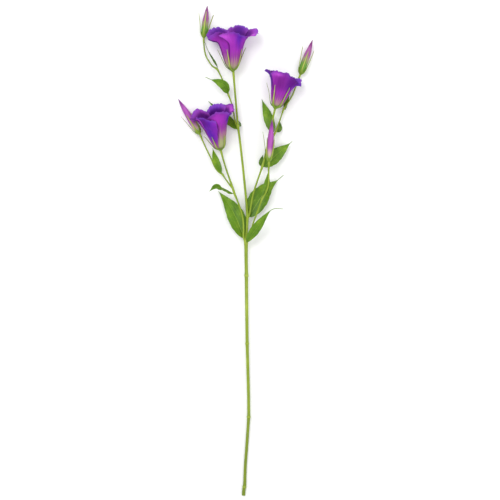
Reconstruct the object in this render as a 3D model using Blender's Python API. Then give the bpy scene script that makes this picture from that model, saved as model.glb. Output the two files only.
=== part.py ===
"""Lisianthus, one cut flowering stem lying on a flat surface.

Metres, +Z up.  The stem runs along Y with its cut end at -Y; the blooms point to +Y.
The origin is the centre of the footprint, at the height of the surface.
Every stem, leaf, petal, sepal cup and bud is a body of its own, about 0.3 mm clear of its
neighbours.
"""
import math

import bmesh
import bpy
import numpy as np
from mathutils import Vector

MM = 0.001

# ---------------------------------------------------------------- driving dimensions (mm)
PETAL_THICKNESS = 0.45
PETAL_NEST = 1.5          # normal distance between two overlapping petals
PETAL_FOOT_ANGLE = 38.0   # degrees that half a petal spans at its foot
LEAF_THICKNESS = 0.7
SEPAL_THICKNESS = 0.6
SEPAL_CLEARANCE = 2.2     # sepal surface outside the petals' mean surface
STEM_SIDES = 3            # bevel resolution of the stems

# Routes: x, y, z and radius, in mm, from the lower end to the upper end.
STEMS = {
    "main_stem": [
        (-3.2, -348.0, 2.7, 2.45), (-2.6, -340.0, 2.8, 2.4), (-1.9, -336.0, 3.0, 2.9),
        (-1.4, -331.0, 3.1, 2.3), (-0.6, -306.5, 3.4, 2.15), (2.0, -270.0, 4.2, 2.15),
        (3.9, -241.0, 4.9, 2.2), (4.2, -236.4, 5.1, 2.9), (4.2, -231.5, 5.2, 2.2),
        (4.0, -206.4, 5.8, 2.15), (2.9, -165.0, 7.1, 2.25), (2.1, -136.5, 7.9, 2.3),
        (2.0, -131.5, 8.0, 2.95), (1.9, -126.5, 8.1, 2.3), (1.5, -90.0, 9.0, 2.35),
        (1.0, -42.0, 10.3, 2.45), (1.0, -35.0, 10.6, 3.2), (0.9, -29.0, 10.8, 2.5),
        (0.6, -8.0, 11.6, 2.55), (0.5, 6.0, 12.1, 2.7), (0.4, 15.2, 12.5, 3.3)],
    "centre_branch": [
        (0.6, 16.3, 12.6, 2.5), (1.0, 22.0, 12.9, 1.9), (1.9, 35.0, 13.5, 1.75),
        (2.4, 48.0, 14.0, 2.1), (2.2, 54.0, 14.1, 2.0), (0.9, 70.0, 14.0, 1.7),
        (-1.6, 96.1, 14.0, 1.65), (-4.6, 125.0, 13.5, 1.6), (-7.8, 153.0, 13.0, 1.6),
        (-10.3, 172.0, 12.6, 1.65), (-11.0, 177.9, 12.5, 2.1), (-11.7, 184.0, 12.4, 1.5),
        (-13.8, 209.2, 12.0, 1.4), (-16.2, 237.6, 12.6, 1.45), (-17.4, 253.6, 15.2, 1.7)],
    "top_bud_branch": [
        (-14.3, 182.5, 11.6, 1.15), (-16.4, 192.0, 11.0, 1.05), (-18.4, 204.0, 11.2, 1.0),
        (-21.8, 215.0, 12.0, 1.0), (-25.0, 223.2, 13.0, 1.45), (-28.8, 233.5, 14.0, 1.0),
        (-33.2, 244.1, 15.0, 1.0), (-37.6, 253.0, 15.6, 1.1), (-40.9, 258.5, 16.0, 1.5),
        (-47.1, 262.5, 14.6, 1.0), (-52.2, 269.6, 12.6, 1.0), (-56.4, 277.2, 10.8, 1.0),
        (-58.5, 285.4, 9.4, 1.0), (-59.6, 294.8, 8.6, 1.05), (-59.8, 302.6, 8.2, 1.4)],
    "left_branch": [
        (-3.0, 20.5, 14.8, 1.5), (-3.0, 31.0, 15.7, 1.3), (-3.6, 42.5, 16.5, 1.25),
        (-5.4, 52.5, 17.2, 1.25), (-8.2, 61.8, 17.5, 1.25), (-12.0, 72.0, 17.9, 1.25),
        (-16.0, 81.9, 18.0, 1.7), (-19.0, 91.3, 17.0, 1.6), (-23.9, 105.3, 15.0, 1.2),
        (-27.3, 115.0, 13.4, 1.2), (-30.1, 124.0, 12.0, 1.2), (-32.8, 133.5, 11.3, 1.3),
        (-35.1, 142.0, 11.0, 1.6)],
    "left_bud_stalk": [
        (-23.2, 94.8, 17.5, 1.1), (-26.8, 99.8, 16.8, 1.0), (-30.2, 104.6, 16.0, 1.05),
        (-33.2, 109.1, 15.5, 1.5), (-36.8, 111.4, 15.2, 1.1), (-40.0, 113.9, 15.0, 1.0),
        (-45.0, 121.5, 14.0, 1.0), (-48.6, 130.2, 13.0, 1.0), (-52.6, 138.5, 12.2, 1.0),
        (-56.5, 146.7, 11.5, 1.0), (-61.0, 156.5, 10.6, 1.05), (-64.6, 165.0, 10.0, 1.5)],
    "right_branch": [
        (5.8, 55.0, 14.8, 1.45), (7.6, 66.0, 15.1, 1.3), (10.0, 79.0, 15.5, 1.25),
        (13.2, 90.0, 16.0, 1.25), (16.9, 100.8, 16.5, 1.25), (20.8, 112.0, 16.8, 1.25),
        (23.7, 120.8, 17.0, 1.75), (26.0, 129.0, 17.2, 1.3), (28.2, 138.5, 17.5, 1.3),
        (31.2, 151.0, 18.0, 1.2), (35.4, 164.7, 18.5, 1.5), (37.3, 176.0, 19.0, 1.15),
        (38.6, 188.0, 19.5, 1.2), (41.2, 200.3, 20.4, 1.5)],
    "right_bud_stalk": [
        (32.3, 143.6, 16.6, 1.1), (34.9, 151.5, 15.0, 1.0), (38.4, 160.5, 13.0, 1.05),
        (42.1, 169.0, 11.0, 1.5), (45.4, 177.5, 9.4, 1.0), (48.4, 185.9, 8.0, 1.0),
        (51.2, 194.0, 7.0, 1.0), (53.6, 201.3, 6.4, 1.45), (58.2, 209.0, 5.4, 1.0),
        (63.1, 216.2, 4.6, 1.0), (66.8, 223.0, 4.2, 1.0), (69.6, 229.8, 4.2, 1.0),
        (73.4, 240.5, 5.2, 1.05), (77.2, 250.2, 6.4, 1.5)],
    "front_bud_stalk": [
        (4.9, 19.0, 15.0, 1.5), (6.9, 26.0, 16.6, 1.2), (8.6, 33.0, 18.4, 1.1),
        (11.2, 41.5, 20.4, 1.1), (14.6, 50.3, 22.2, 1.1), (19.2, 62.8, 25.0, 1.1),
        (23.3, 74.0, 27.4, 1.5), (27.0, 79.8, 28.6, 1.1), (29.8, 85.9, 29.2, 1.1),
        (31.8, 93.0, 29.7, 1.1), (32.5, 101.0, 30.0, 1.1), (32.4, 113.0, 30.3, 1.15),
        (32.8, 124.6, 30.5, 1.6)],
}

# Leaves: midrib points, half widths left and right of the midrib (seen with the tip up),
# the direction that the upper face looks in, and the fold angle in degrees.
LEAVES = {
    "whorl_leaf_left": dict(
        spine=[(-2.6, 20.4, 10.4), (-13.4, 46.0, 8.5), (-24.2, 66.0, 6.0), (-39.0, 85.9, 3.0)],
        width=(11.5, 13.5), face=(0.1, 0.0, 1.0), fold=14),
    "whorl_leaf_right": dict(
        spine=[(2.0, 13.6, 17.9), (6.6, 20.6, 21.0), (15.2, 32.0, 26.0), (29.0, 50.6, 31.6),
               (39.0, 59.4, 32.6), (53.8, 59.6, 32.0)],
        width=(7.0, 6.4), face=(-0.05, 0.1, 1.0), fold=10),
    "fork_leaf": dict(
        spine=[(5.3, 49.6, 10.8), (15.0, 66.5, 9.0), (30.0, 88.0, 6.0), (43.4, 99.4, 4.4),
               (54.6, 108.9, 6.0)],
        width=(15.5, 12.5), face=(0.0, 0.0, 1.0), fold=10),
    "left_branch_leaf": dict(
        spine=[(-18.8, 82.0, 18.4), (-28.4, 87.2, 21.5), (-41.0, 91.8, 22.0),
               (-51.9, 84.5, 18.0)],
        width=(5.0, 6.5), face=(-0.25, -0.4, 1.0), fold=28),
    "left_bract": dict(
        spine=[(-34.8, 111.7, 17.8), (-39.0, 121.0, 17.2), (-43.6, 133.0, 14.6),
               (-47.0, 147.0, 7.6)],
        width=(5.2, 4.6), face=(0.1, 0.0, 1.0), fold=16),
    "top_branch_leaf": dict(
        spine=[(-26.0, 224.6, 15.6), (-29.2, 234.0, 21.0), (-38.2, 239.8, 22.0),
               (-49.2, 243.3, 19.0), (-57.8, 247.4, 16.0)],
        width=(7.2, 5.6), face=(-0.15, 0.1, 1.0), fold=14),
    "centre_leaf_left": dict(
        spine=[(-13.2, 174.4, 10.6), (-20.6, 183.6, 4.5), (-35.0, 197.0, 1.4),
               (-53.6, 214.4, 1.2)],
        width=(6.5, 5.4), face=(0.0, 0.0, 1.0), fold=4),
    "centre_leaf_right": dict(
        spine=[(-9.0, 178.0, 9.8), (-8.6, 182.0, 6.0), (-10.6, 186.6, 2.0)],
        width=(3.6, 3.0), face=(0.8, 0.2, 0.5), fold=16),
    "right_stalk_leaf_left": dict(
        spine=[(38.2, 168.2, 15.0), (36.4, 178.0, 12.0), (30.6, 196.0, 9.0), (22.6, 217.1, 5.0)],
        width=(7.6, 6.6), face=(-0.1, -0.1, 1.0), fold=12),
    "right_stalk_leaf_right": dict(
        spine=[(45.4, 170.0, 8.2), (48.6, 176.0, 4.6), (49.2, 184.6, 2.2)],
        width=(4.0, 3.6), face=(0.3, 0.0, 1.0), fold=6),
    "right_bract": dict(
        spine=[(56.4, 202.8, 3.6), (58.8, 212.0, 1.5), (63.0, 231.4, 1.0)],
        width=(4.6, 1.6), face=(0.0, 0.0, 1.0), fold=0),
    "right_branch_leaf": dict(
        spine=[(26.8, 120.6, 15.0), (39.6, 133.2, 11.6), (54.5, 146.0, 9.0),
               (66.9, 156.9, 7.0)],
        width=(10.5, 9.5), face=(0.0, 0.0, 1.0), fold=4),
    "right_branch_leaf_small": dict(
        spine=[(21.6, 121.6, 14.0), (22.6, 128.6, 9.6), (24.6, 137.6, 5.6)],
        width=(3.8, 3.2), face=(-0.4, 0.0, 0.9), fold=12),
    "front_bract": dict(
        spine=[(25.0, 77.2, 24.8), (29.6, 91.0, 24.4), (32.0, 113.4, 25.2)],
        width=(5.0, 5.0), face=(-0.15, 0.0, 1.0), fold=14),
    "top_bract": dict(
        spine=[(-40.4, 261.8, 17.8), (-45.2, 269.4, 17.6), (-53.0, 284.0, 15.4),
               (-58.6, 298.6, 13.4)],
        width=(2.6, 2.2), face=(0.8, 0.2, 0.6), fold=18),
}

# Flowers: the foot of the corolla, the lean of the axis to the right (degrees in plan) and its
# tilt up from the surface.  The cup is height and radius.  The lip is given by its reach, its
# height and the way its edge points (0 outward, 90 upward) at even steps around the mouth,
# from the right-hand side over the top.  A petal is its centre, how far it spans to its right
# and to its left (degrees) and how much its top falls away on each of the two sides.
FLOWERS = {
    "top": dict(
        foot=(-18.2, 256.2, 16.0), lean=-2.5, tilt=12.0,
        cup=[(0, 2.4), (3, 4.6), (9, 9.2), (22, 13.2), (31, 15.4), (37, 17.4)],
        reach=(39, 36, 27, 24.5, 25, 25, 25.5, 26, 28, 33,
               38, 35.5, 31, 29, 28, 27, 28, 30, 34, 38.5),
        height=(50.5, 48.5, 49.5, 53, 55.5, 56, 57, 57.5, 56.5, 50.5,
                52, 60, 60.5, 60, 60, 60.5, 62, 61, 58, 58.5),
        turn=(-5, -5, 15, 20, 25, 25, 30, 30, 35, 50, 60, 60, 40, 30, 30, 30, 30, 20, 5, 0),
        petals=((3, 46, 50, 0.12, 0.10), (75, 48, 62, 0.10, 0.06), (147, 58, 46, 0.12, 0.12),
                (219, 48, 46, 0.14, 0.14), (291, 48, 46, 0.14, 0.14)),
        waist=((46, 50), (44, 24), (58, 46), (48, 46), (48, 46)), flare=(0.62, 0.95),
        laps=((1, -1), (1, 1), (-1, -1), (1, -1), (1, -1)),
        first_sepal=111.0, sepals=(33, 32, 30, 33, 32), splays=(1.5, 3.5, 0.6, 6.5, 0.8)),
    "left": dict(
        foot=(-35.7, 144.4, 11.0), lean=-13.6, tilt=18.0,
        cup=[(0, 2.4), (3, 5.0), (8, 8.6), (24, 13.8), (33, 16.2), (39, 18.6)],
        reach=(32, 31.5, 28.5, 25.5, 24, 23, 24, 26, 28, 30.5,
               33, 32, 28.5, 26, 24, 23.5, 24, 26, 30, 34),
        height=(51.5, 52.5, 54.5, 58.5, 60.5, 57, 54.5, 56.5, 58.5, 52.5,
                51.5, 55, 62, 60.5, 57, 60, 62.5, 61.5, 61, 59),
        turn=(10, 15, 25, 30, 30, 30, 35, 35, 35, 10, 0, 10, 30, 30, 30, 30, 35, 30, 20, 10),
        petals=((-2, 46, 50, 0.12, 0.12), (70, 60, 54, 0.08, 0.06), (142, 60, 6, 0.26, 0.02),
                (214, 72, 46, 0.06, 0.16), (286, 48, 46, 0.16, 0.12)),
        waist=((46, 50), (56, 54), (60, 1), (72, 46), (48, 46)), flare=(0.55, 0.88),
        laps=((1, -1), (1, -1), (1, 1), (-1, -1), (1, -1)),
        first_sepal=119.0, sepals=(25, 25, 24, 22, 22), splays=(1.0, 3.6, 0.6, 0.4, 0.4)),
    "right": dict(
        foot=(41.9, 203.0, 20.8), lean=16.3, tilt=5.0,
        cup=[(0, 2.2), (3, 5.2), (7, 8.0), (17, 11.2), (25, 13.2), (30, 14.8)],
        reach=(28, 28, 25.5, 22, 21, 21, 21, 22, 24.5, 28,
               29.5, 28, 25, 22, 20, 19.5, 19.5, 21, 25, 29),
        height=(40.5, 42, 45.5, 48.5, 51, 52, 52, 51.3, 50.5, 48.5,
                46.5, 46, 46, 46, 46, 46.5, 46.5, 48, 50, 47.5),
        turn=(0, 5, 20, 30, 40, 40, 40, 40, 30, 10, 0, 10, 30, 30, 30, 30, 30, 30, 20, 5),
        petals=((28, 48, 48, 0.10, 0.10), (92, 62, 60, 0.05, 0.05), (172, 46, 46, 0.10, 0.12),
                (244, 46, 46, 0.14, 0.14), (316, 46, 48, 0.14, 0.12)),
        waist=((48, 48), (56, 42), (46, 46), (46, 46), (46, 48)), flare=(0.55, 0.88),
        laps=((1, -1), (1, 1), (-1, -1), (1, -1), (1, -1)),
        first_sepal=121.0, sepals=(32, 33, 28, 28, 34), splays=(1.6, 6.2, 0.6, 1.0, 1.6)),
}

# Buds: foot and tip of the furled corolla, its greatest radius, and its five sepals: where the
# first one sits, how long they are, how far their tips stand off and turn around the bud.
BUDS = {
    "top": dict(foot=(-59.8, 305.4, 8.1), tip=(-54.6, 349.2, 9.0), radius=4.6,
                first_sepal=95.0, sepals=(36, 32, 29, 29, 32), splays=(0.5, 7.0, 0.6, 0.6, 7.4),
                drifts=(0, 0, 0, 0, 0)),
    "left": dict(foot=(-65.9, 167.7, 9.8), tip=(-96.0, 216.6, 6.6), radius=5.0,
                 first_sepal=112.0, sepals=(32, 35, 29, 29, 31), splays=(0.6, 4.8, 0.6, 0.6, 1.0),
                 drifts=(0, 0, 0, 0, 0)),
    "front": dict(foot=(32.9, 127.6, 30.7), tip=(37.4, 185.7, 34.0), radius=4.7,
                  first_sepal=54.0, sepals=(34, 32, 40, 30, 30), splays=(0.6, 0.6, 7.6, 0.6, 0.6),
                  drifts=(-30, 26, -14, 0, 0)),
    "right": dict(foot=(78.2, 253.0, 6.9), tip=(95.2, 300.6, 8.5), radius=5.0,
                  first_sepal=90.0, sepals=(33, 37, 29, 29, 37), splays=(0.5, 6.6, 0.6, 0.6, 3.4),
                  drifts=(0, 0, 0, 0, 0)),
}

# ---------------------------------------------------------------- colours
COLOURS = {
    "stem_green": (0.36, 0.43, 0.10), "leaf_green": (0.20, 0.35, 0.05),
    "sepal_green": (0.42, 0.50, 0.14), "petal_purple": (0.24, 0.06, 0.46),
    "bud_purple": (0.44, 0.22, 0.40), "stamen_yellow": (0.75, 0.55, 0.12),
    "pistil_green": (0.45, 0.55, 0.18),
}


def material(name):
    found = bpy.data.materials.get(name)
    if found:
        return found
    mat = bpy.data.materials.new(name)
    mat.use_nodes = True
    shader = mat.node_tree.nodes["Principled BSDF"]
    shader.inputs["Base Color"].default_value = (*COLOURS[name], 1.0)
    shader.inputs["Roughness"].default_value = 0.5
    shader.inputs["Metallic"].default_value = 0.0
    return mat


def body(name, bm, colour, thickness=0.0):
    """Turn a bmesh (in mm) into a named object; an open sheet gets its thickness."""
    bmesh.ops.recalc_face_normals(bm, faces=bm.faces)
    bmesh.ops.scale(bm, vec=(MM, MM, MM), verts=bm.verts)
    mesh = bpy.data.meshes.new(name)
    bm.to_mesh(mesh)
    bm.free()
    obj = bpy.data.objects.new(name, mesh)
    bpy.context.scene.collection.objects.link(obj)
    mesh.materials.append(material(colour))
    for polygon in mesh.polygons:
        polygon.use_smooth = True
    if thickness:
        sheet = obj.modifiers.new("thickness", "SOLIDIFY")
        sheet.thickness = thickness * MM
        sheet.offset = 0.0
        sheet.use_even_offset = False
    return obj


def smooth_path(points, per_span):
    """A Catmull-Rom line through the points; every column is carried along."""
    pts = np.array(points, dtype=float)
    ext = np.vstack([2 * pts[0] - pts[1], pts, 2 * pts[-1] - pts[-2]])
    out = []
    for i in range(1, len(ext) - 2):
        a, b, c, d = ext[i - 1], ext[i], ext[i + 1], ext[i + 2]
        for k in range(per_span):
            t = k / per_span
            out.append(0.5 * ((2 * b) + (c - a) * t + (2 * a - 5 * b + 4 * c - d) * t ** 2
                              + (3 * b - a - 3 * c + d) * t ** 3))
    out.append(ext[-2])
    return np.array(out)


def stem(name, route):
    """A round stem: a bevelled curve with its own radius at every point."""
    curve = bpy.data.curves.new(name, "CURVE")
    curve.dimensions = "3D"
    curve.bevel_depth = MM
    curve.bevel_resolution = STEM_SIDES
    curve.use_fill_caps = True
    spline = curve.splines.new("POLY")
    line = smooth_path(route, 1)
    spline.points.add(len(line) - 1)
    for point, (x, y, z, radius) in zip(spline.points, line):
        point.co = (x * MM, y * MM, z * MM, 1.0)
        point.radius = radius
    obj = bpy.data.objects.new(name, curve)
    curve.materials.append(material("stem_green"))
    bpy.context.scene.collection.objects.link(obj)
    return obj


def grid_points(bm, columns, rows):
    """A plane grid with columns x rows vertices, as a lookup [row][column]."""
    made = bmesh.ops.create_grid(bm, x_segments=columns - 1, y_segments=rows - 1, size=1.0)
    verts = sorted(made["verts"], key=lambda v: (round(v.co.y, 5), round(v.co.x, 5)))
    return [verts[r * columns:(r + 1) * columns] for r in range(rows)]


def leaf(name, spine, width, face, fold):
    """A leaf: a grid bent along its midrib, ovate with a drawn-out tip, folded at the rib."""
    bm = bmesh.new()
    columns, rows = 5, 4 * (len(spine) - 1) + 1
    table = grid_points(bm, columns, rows)
    line = smooth_path(spine, 4)
    tangent = np.gradient(line, axis=0)
    tangent /= np.linalg.norm(tangent, axis=1)[:, None]
    up = np.array(face, dtype=float)
    step = np.linalg.norm(np.diff(line, axis=0), axis=1)
    along = np.concatenate([[0], np.cumsum(step)]) / step.sum()
    lift = math.tan(math.radians(fold))
    for r in range(rows):
        side = np.cross(tangent[r], up)
        side /= np.linalg.norm(side)
        normal = np.cross(side, tangent[r])
        s = along[r]
        shape = math.sin(math.pi * s ** 0.7) ** (0.85 + 0.45 * s) if 0 < s < 1 else 0.0
        for c in range(columns):
            t = -1 + 2 * c / (columns - 1)
            half = width[0] if t < 0 else width[1]
            reach = max(half * shape, 0.45)
            x = t * reach
            point = line[r] + side * x + normal * abs(x) * lift
            table[r][c].co = Vector(point)
    return body(name, bm, "leaf_green", LEAF_THICKNESS)


# ---------------------------------------------------------------- flowers
def around(values, degrees):
    """Smooth value between the stations, which are evenly spaced around the mouth."""
    count = len(values)
    pos = (degrees * count / 360.0) % count
    i = int(pos)
    t = pos - i
    a, b, c, d = (values[(i + k) % count] for k in (-1, 0, 1, 2))
    return 0.5 * ((2 * b) + (c - a) * t + (2 * a - 5 * b + 4 * c - d) * t ** 2
                  + (3 * b - a - 3 * c + d) * t ** 3)


def flower_axes(spec):
    lean, tilt = math.radians(spec["lean"]), math.radians(spec["tilt"])
    along = np.array([math.sin(lean) * math.cos(tilt), math.cos(lean) * math.cos(tilt),
                      math.sin(tilt)])
    right = np.array([math.cos(lean), -math.sin(lean), 0.0])
    return np.array(spec["foot"], dtype=float), along, right, np.cross(right, along)


def mean_surface(spec, degrees, s):
    """Shared surface of a corolla: a cup up to s = 0.6, then a lip that curves outward.

    Returns the radius and the height at one azimuth and one length share s."""
    share = 0.6
    cup = spec["cup"]
    top_h, top_r = cup[-1]
    if s <= share:
        h = top_h * s / share
        r = float(np.interp(h, [p[0] for p in cup], [p[1] for p in cup]))
        return r, h
    t = (s - share) / (1 - share)
    rim_r, rim_h = around(spec["reach"], degrees), around(spec["height"], degrees)
    length = math.hypot(rim_r - top_r, rim_h - top_h) * 0.42
    turn = math.radians(around(spec["turn"], degrees))
    arrive = length * (1.0 + 0.6 * math.sin(turn) ** 2)
    r1, h1 = top_r + 0.32 * length, top_h + 0.95 * length
    r2, h2 = rim_r - math.cos(turn) * arrive, rim_h - math.sin(turn) * arrive
    u = 1 - t
    r = u ** 3 * top_r + 3 * u * u * t * r1 + 3 * u * t * t * r2 + t ** 3 * rim_r
    h = u ** 3 * top_h + 3 * u * u * t * h1 + 3 * u * t * t * h2 + t ** 3 * rim_h
    return r, h


def corolla_point(spec, degrees, s, offset):
    """The mean surface moved by an offset along its normal (outward is positive)."""
    foot, along, right, front = flower_axes(spec)

    def at(angle, share):
        r, h = mean_surface(spec, angle, share)
        a = math.radians(angle)
        return (right * math.cos(a) + front * math.sin(a)) * r + along * h

    e = 0.004
    lo, hi = max(s - e, 0.0), min(s + e, 1.0)
    up = at(degrees, hi) - at(degrees, lo)
    turn = at(degrees + 0.5, s) - at(degrees - 0.5, s)
    normal = np.cross(up, turn)
    normal /= np.linalg.norm(normal)
    a = math.radians(degrees)
    if np.dot(normal, (right * math.cos(a) + front * math.sin(a)) - along * 0.4) < 0:
        normal = -normal
    return foot + at(degrees, s) + normal * offset


def petal(name, spec, number):
    """One petal: each side edge laps over its neighbour or is tucked in; its top is rounded.

    Its half width grows from the foot to the waist of the corolla, then on to the rim."""
    centre, right_span, left_span, right_fall, left_fall = spec["petals"][number]
    right_waist, left_waist = spec["waist"][number]
    right_lap, left_lap = spec["laps"][number]
    low, high = spec["flare"]
    bm = bmesh.new()
    columns, rows = 8, 9
    table = grid_points(bm, columns, rows)
    for r in range(rows):
        share = r / (rows - 1)
        for c in range(columns):
            t = -1 + 2 * c / (columns - 1)
            if t < 0:
                span, waist, fall, lap = right_span, right_waist, right_fall, right_lap
            else:
                span, waist, fall, lap = left_span, left_waist, left_fall, left_lap
            s = share * (1.0 - fall * abs(t) ** 2.5)
            half = PETAL_FOOT_ANGLE + (waist - PETAL_FOOT_ANGLE) * min(1.0, s / 0.5)
            widen = min(1.0, max(0.0, (s - low) / (high - low)))
            half += (span - waist) * widen * widen * (3.0 - 2.0 * widen)
            offset = lap * PETAL_NEST / 72.0 * half * abs(t)
            if lap > 0:
                offset += 3.0 * max(0.0, abs(t) - 0.3) ** 2 * max(0.0, s - 0.45)
            table[r][c].co = Vector(corolla_point(spec, centre + t * half, s, offset))
    return body(name, bm, "petal_purple", PETAL_THICKNESS)


def calyx_sheet(name, ring_points, sepal_points, pole, thickness):
    """A cup with five tapering sepals drawn out of its rim, as one sheet with thickness.

    ring_points[k][i] are the cup's rings of 20 points; sepal_points(k, row, place) gives
    the rows of each sepal, whose last row is one tip."""
    bm = bmesh.new()
    rings = [[bm.verts.new(p) for p in ring] for ring in ring_points]
    foot = bm.verts.new(pole)
    count = len(rings[0])
    for i in range(count):
        bm.faces.new((foot, rings[0][i], rings[0][(i + 1) % count]))
    for low, high in zip(rings, rings[1:]):
        for i in range(count):
            bm.faces.new((low[i], high[i], high[(i + 1) % count], low[(i + 1) % count]))
    per = count // 5
    rows = 5
    for k in range(5):
        last = [rings[-1][(k * per + j) % count] for j in range(per + 1)]
        for row in range(1, rows):
            new = [bm.verts.new(sepal_points(k, row / rows, -1 + 2 * j / per))
                   for j in range(per + 1)]
            for j in range(per):
                bm.faces.new((last[j], new[j], new[j + 1], last[j + 1]))
            last = new
        tip = bm.verts.new(sepal_points(k, 1.0, 0.0))
        for j in range(per):
            bm.faces.new((last[j], tip, last[j + 1]))
    return body(name, bm, "sepal_green", thickness)


def flower(prefix, spec):
    foot, along, right, front = flower_axes(spec)
    for k in range(5):
        petal(f"{prefix}_petal_{k + 1}", spec, k)

    # calyx: the cup follows the corolla's foot, the sepals follow its wall and splay
    top_h = spec["cup"][-1][0]
    cup_share = 0.6 * 3.2 / top_h
    start = spec["first_sepal"] - 36.0
    rings = []
    for share in (0.0, 0.5, 1.0):
        rings.append([corolla_point(spec, start + 18.0 * i, cup_share * share,
                                    SEPAL_CLEARANCE - 0.35 * (1 - share)) for i in range(20)])
    pole = foot - along * 1.5

    def sepal(k, share, place):
        s = cup_share + (0.6 * spec["sepals"][k] / top_h - cup_share) * share
        half = 30.0 * math.exp(-5.0 * share) + 6.5 * (1 - share)
        splay = spec["splays"][k] * share ** 1.8
        return corolla_point(spec, start + 36.0 + 72.0 * k + place * half,
                             min(s, 0.6), SEPAL_CLEARANCE + splay) + along * max(
                                 0.0, (s - 0.6) * top_h / 0.6)

    calyx_sheet(f"{prefix}_flower_calyx", rings, sepal, pole, SEPAL_THICKNESS)

    # stamens: a low ring at the foot of the cup with five filaments and their anthers
    bm = bmesh.new()
    ring_h, ring_r, sides = 6.0, 4.6, 15
    spots = []
    for k, (r, h) in enumerate(((ring_r - 0.5, ring_h), (ring_r + 0.5, ring_h),
                                (ring_r + 0.5, ring_h + 1.0), (ring_r - 0.5, ring_h + 1.0))):
        spots.append([])
        for i in range(sides):
            a = 2 * math.pi * (i + 0.5) / sides
            p = foot + (right * math.cos(a) + front * math.sin(a)) * r + along * h
            spots[k].append(bm.verts.new(p))
    tops = []
    for k in range(4):
        a_row, b_row = spots[k], spots[(k + 1) % 4]
        for i in range(sides):
            j = (i + 1) % sides
            face = bm.faces.new((a_row[i], b_row[i], b_row[j], a_row[j]))
            if k == 2 and i % 3 == 1:
                tops.append(face)
    reach = top_h - 10.0
    for face in tops:
        last = face
        middle = np.array(face.calc_center_median()) - foot
        out = middle - along * np.dot(middle, along)
        out /= np.linalg.norm(out)
        steps = [(0.35, 0.6, 0.55), (0.35, 1.4, 1.0), (0.12, 0.6, 2.2), (0.10, 0.2, 1.0)]
        for grow, lean, size in steps:
            made = bmesh.ops.extrude_face_region(bm, geom=[last])
            verts = [g for g in made["geom"] if isinstance(g, bmesh.types.BMVert)]
            nxt = [g for g in made["geom"] if isinstance(g, bmesh.types.BMFace)][0]
            bm.faces.remove(last)
            bmesh.ops.translate(bm, verts=verts, vec=along * reach * grow + out * lean)
            centre = nxt.calc_center_median()
            for v in verts:
                v.co = centre + (v.co - centre) * size
            last = nxt
    body(f"{prefix}_flower_stamens", bm, "stamen_yellow")

    # pistil: ovary, style and a two-lobed stigma, turned as one piece
    bm = bmesh.new()
    profile = [(1.6, 0.8), (3.0, 1.9), (6.5, 2.2), (11.0, 1.7), (15.0, 0.9),
               (top_h - 12.0, 0.8), (top_h - 9.5, 2.2), (top_h - 8.0, 2.0)]
    loops = []
    for h, r in profile:
        loops.append([bm.verts.new(foot + along * h + (right * math.cos(a) * (
            1.5 if h > top_h - 11 else 1.0) + front * math.sin(a)) * r)
            for a in np.linspace(0, 2 * math.pi, 8, endpoint=False)])
    for low, high in zip(loops, loops[1:]):
        for i in range(8):
            j = (i + 1) % 8
            bm.faces.new((low[i], high[i], high[j], low[j]))
    bm.faces.new(loops[0])
    bm.faces.new(loops[-1])
    body(f"{prefix}_flower_pistil", bm, "pistil_green")


BUD_PROFILE = [(0.0, 0.5), (0.06, 0.78), (0.17, 0.96), (0.32, 1.0), (0.5, 0.94), (0.64, 0.81),
               (0.77, 0.6), (0.88, 0.36), (0.96, 0.14)]


def bud_frame(spec):
    foot, tip = np.array(spec["foot"], float), np.array(spec["tip"], float)
    along = (tip - foot) / np.linalg.norm(tip - foot)
    right = np.cross(along, (0.0, 0.0, 1.0))
    right /= np.linalg.norm(right)
    return foot, tip, along, right, np.cross(right, along)


def bud(prefix, spec):
    foot, tip, along, right, front = bud_frame(spec)
    length = float(np.linalg.norm(tip - foot))

    def at(degrees, h, offset):
        r = spec["radius"] * float(np.interp(h / length, [p[0] for p in BUD_PROFILE],
                                             [p[1] for p in BUD_PROFILE]))
        a = math.radians(degrees)
        return foot + (right * math.cos(a) + front * math.sin(a)) * (r + offset) + along * h

    bm = bmesh.new()
    loops = [[bm.verts.new(at(30.0 * i, share * length, 0.0)) for i in range(12)]
             for share, _ in BUD_PROFILE]
    for low, high in zip(loops, loops[1:]):
        for i in range(12):
            j = (i + 1) % 12
            bm.faces.new((low[i], high[i], high[j], low[j]))
    bm.faces.new(loops[0])
    point = bm.verts.new(tip)
    for i in range(12):
        bm.faces.new((loops[-1][i], point, loops[-1][(i + 1) % 12]))
    body(f"{prefix}_bud", bm, "bud_purple")

    start = spec["first_sepal"] - 36.0
    rings = [[at(start + 36.0 * i, h, out) for i in range(10)]
             for h, out in ((-0.8, 0.5), (0.8, 1.1), (3.4, 1.15))]

    def sepal(k, share, place):
        h = 3.4 + (spec["sepals"][k] - 3.4) * share
        half = 27.0 * (1 - share) ** 1.1 + 3.0
        splay = spec["splays"][k] * share ** 2.0
        middle = start + 36.0 + 72.0 * k + spec["drifts"][k] * share ** 0.7
        return at(middle + place * half, h, 1.2 + splay)

    calyx_sheet(f"{prefix}_bud_calyx", rings, sepal, foot - along * 1.3, 0.5)


# ---------------------------------------------------------------- build
for old in list(bpy.data.objects):
    bpy.data.objects.remove(old, do_unlink=True)

for stem_name, stem_route in STEMS.items():
    stem(stem_name, stem_route)
for leaf_name, leaf_spec in LEAVES.items():
    leaf(leaf_name, **leaf_spec)
for flower_name, flower_spec in FLOWERS.items():
    flower(flower_name, flower_spec)
for bud_name, bud_spec in BUDS.items():
    bud(bud_name, bud_spec)
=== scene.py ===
"""Lisianthus, one cut flowering stem lying on a pale surface, seen from straight above.

Lengths in the tables below are millimetres in the CAD part's frame (+Y along the stem, +X to the
right, +Z up); every mesh is scaled to metres when it is made.  Each piece is a surface worked
out as whole arrays: a function of two parameters on a grid, or a profile carried along a path.
"""

import math

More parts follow.
